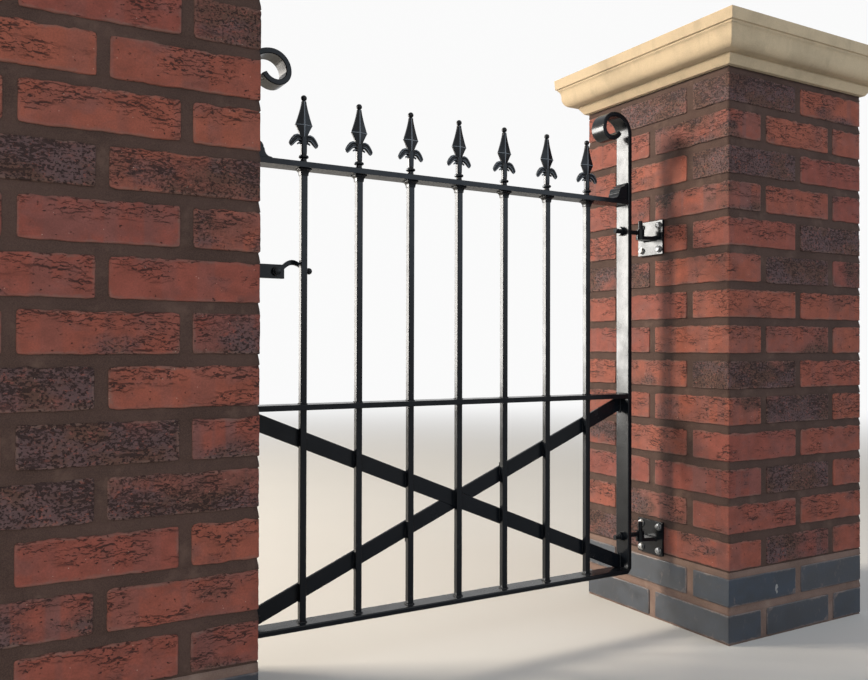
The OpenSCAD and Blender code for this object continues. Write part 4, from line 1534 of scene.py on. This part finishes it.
class GATE_OT_run_welds(bpy.types.Operator):
    """Runs the welds of the leaf and of the hinge plates"""

    bl_idname = "gate.run_welds"
    bl_label = "Run welds"

    def execute(self, context):
        tree = weld_tree()
        for name, body, lines in (("leaf_welds", "gate", gate_welds()),
                                  ("hinge_welds", "piers", hinge_welds())):
            places, edges, legs = [], [], []
            for points, leg in lines:
                first = len(places)
                places += points
                legs += [leg] * len(points)
                edges += [(first + k, first + k + 1) for k in range(len(points) - 1)]
            welds = put_in_scene(name, line_mesh(name, places, edges, leg=legs))
            run_tree(welds, tree, {
                "Finish": paint(), "Pitch": context.scene.gate_iron.weld_pitch})
            dress_iron(welds, body)
        return {"FINISHED"}


# Stage

WHITE = (1.0, 1.0, 1.0, 1.0)
BACKGROUND = 0.96

# Size, tint, place, target, and whether only mirror images show it, for each lamp; its power
# is the stage's property of the same name
LAMPS = {
    "front_lamp": ((1.5, 1.5), (1.0, 0.98, 0.96), (-2.6, -3.2, 2.6), (0.0, 0.0, 0.7), False),
    "side_lamp": ((2.4, 1.5), (0.66, 0.82, 1.0), (1.75, -2.7, 1.75), (0.2, 0.0, 0.8), False),
    "low_sun": ((1.3, 1.3), (1.0, 0.87, 0.70), (-4.6, 2.8, 3.2), (0.2, 0.0, 0.7), False),
    "stile_panel": ((0.75, 1.7), (1.0, 0.97, 0.92), (-2.22, 2.6, 1.2), (0.3, 0.0, 1.2), True),
    "bar_panel": ((0.75, 1.7), (1.0, 0.94, 0.86), (-1.47, 2.6, 1.2), (0.0, 0.0, 1.2), True),
}


def put_at(thing, place, right, up, back):
    """Puts a lamp or the camera at a place, turned to the three directions"""
    bpy.context.scene.collection.objects.link(thing)
    turn = Matrix((right, up, back)).transposed().to_4x4()
    thing.matrix_world = Matrix.Translation(place) @ turn


def add_lamp(name, energy, size, tint, place, target, mirrored_only):
    light = bpy.data.lights.new(name, "AREA")
    light.shape = "RECTANGLE"
    light.size, light.size_y = size
    light.energy = energy
    light.color = tint
    lamp = bpy.data.objects.new(name, light)
    back = (Vector(place) - Vector(target)).normalized()
    right = Vector((0, 0, 1)).cross(back).normalized()
    put_at(lamp, place, right, back.cross(right), back)
    lamp.visible_camera = False
    lamp.visible_diffuse = not mirrored_only


def add_camera(scene):
    """Camera at the photograph's place, turn and field of view"""
    camera = bpy.data.cameras.new("camera")
    camera.sensor_width = SENSOR_WIDTH
    camera.lens = FOCAL_PIXELS / PHOTO_WIDTH * SENSOR_WIDTH
    camera.clip_start = 0.02
    holder = bpy.data.objects.new("camera", camera)
    yaw, pitch, roll = (math.radians(a) for a in CAMERA_DEGREES)
    ahead = Vector((math.sin(yaw), math.cos(yaw), 0.0))
    right = Vector((math.cos(yaw), -math.sin(yaw), 0.0))
    upright = Vector((0.0, 0.0, 1.0))
    sight = ahead * math.cos(pitch) + upright * math.sin(pitch)
    lifted = upright * math.cos(pitch) - ahead * math.sin(pitch)
    level = right * math.cos(roll) + lifted * math.sin(roll)
    top = lifted * math.cos(roll) - right * math.sin(roll)
    put_at(holder, CAMERA_PLACE, level, top, -sight)
    scene.camera = holder


def set_world(scene, strength):
    """Light from all sides, seen as plain white by the camera and in mirror images"""
    world = bpy.data.worlds.new("soft_white_room")
    world.use_nodes = True
    world.node_tree.nodes.clear()
    graph = Graph(world.node_tree)
    path = graph.node("ShaderNodeLightPath").outputs
    seen = graph.plus(path["Is Camera Ray"], path["Is Transmission Ray"])
    seen = graph.plus(seen, path["Is Glossy Ray"], clamp=True)
    level = graph.line(seen, 0.0, 1.0, strength, BACKGROUND)
    shade = graph.add("ShaderNodeBackground", {"Color": WHITE, "Strength": level})
    graph.node("ShaderNodeOutputWorld", {"Surface": shade})
    scene.world = world


def floor_finish(colour):
    """Pale mottled floor that fades into the background far off"""
    graph = Finish("pale_floor")
    mottle = graph.line(graph.noise(3.0, detail=3.0), 0.3, 0.7, 0.0, 0.5)
    graph.cover(graph.mix(mottle, colour, [c * 0.97 for c in colour]), 0.85)
    far = graph.ramp(graph.vector("LENGTH", graph.place), 2.2, 8.0)
    seen = graph.times(far, graph.node("ShaderNodeLightPath").outputs["Is Camera Ray"])
    haze = graph.add("ShaderNodeEmission", {"Color": WHITE, "Strength": BACKGROUND})
    blend = graph.add("ShaderNodeMixShader", {0: seen, 1: graph.shader.outputs[0], 2: haze})
    graph.feed(graph.output.inputs["Surface"], blend)
    return graph.material


class GATE_OT_set_stage(bpy.types.Operator):
    """Sets the floor, the lamps, the background and the camera"""

    bl_idname = "gate.set_stage"
    bl_label = "Set stage"

    def execute(self, context):
        scene = context.scene
        sizes = scene.gate_stage
        scene.view_settings.view_transform = "Standard"
        bm = bmesh.new()
        bmesh.ops.create_grid(bm, x_segments=8, y_segments=8, size=14.0)
        floor = put_in_scene("floor", mesh_from(bm, "floor"))
        floor.data.materials.append(floor_finish(sizes.floor))
        set_world(scene, sizes.surround)
        for name, setting in LAMPS.items():
            add_lamp(name, getattr(sizes, name), *setting)
        add_camera(scene)
        return {"FINISHED"}


STEPS = [
    GATE_OT_set_stage,
    GATE_OT_lay_red_bricks,
    GATE_OT_lay_blue_bricks,
    GATE_OT_cast_caps,
    GATE_OT_bend_stiles,
    GATE_OT_paint_bars,
    GATE_OT_cast_railheads,
    GATE_OT_press_collars,
    GATE_OT_fit_bolts,
    GATE_OT_run_welds,
]


class GATE_PT_panel(bpy.types.Panel):
    """Lists the gate's sizes and its building steps"""

    bl_idname = "GATE_PT_panel"
    bl_label = "Gate and piers"
    bl_space_type = "VIEW_3D"
    bl_region_type = "UI"
    bl_category = "Gate"

    def draw(self, context):
        for name, group in SETTINGS.items():
            box = self.layout.box()
            for label in group.__annotations__:
                box.prop(getattr(context.scene, name), label)
        for step in STEPS:
            self.layout.operator(step.bl_idname)


CLASSES = [*SETTINGS.values(), *STEPS, GATE_PT_panel]


def register():
    for cls in CLASSES:
        bpy.utils.register_class(cls)
    for name, group in SETTINGS.items():
        setattr(bpy.types.Scene, name, PointerProperty(type=group))


def unregister():
    for name in SETTINGS:
        delattr(bpy.types.Scene, name)
    for cls in reversed(CLASSES):
        bpy.utils.unregister_class(cls)


def main():
    register()
    for step in STEPS:
        area, name = step.bl_idname.split(".")
        if getattr(getattr(bpy.ops, area), name)() != {"FINISHED"}:
            raise RuntimeError(f"{step.bl_label} did not finish")


if __name__ == "__main__":
    main()
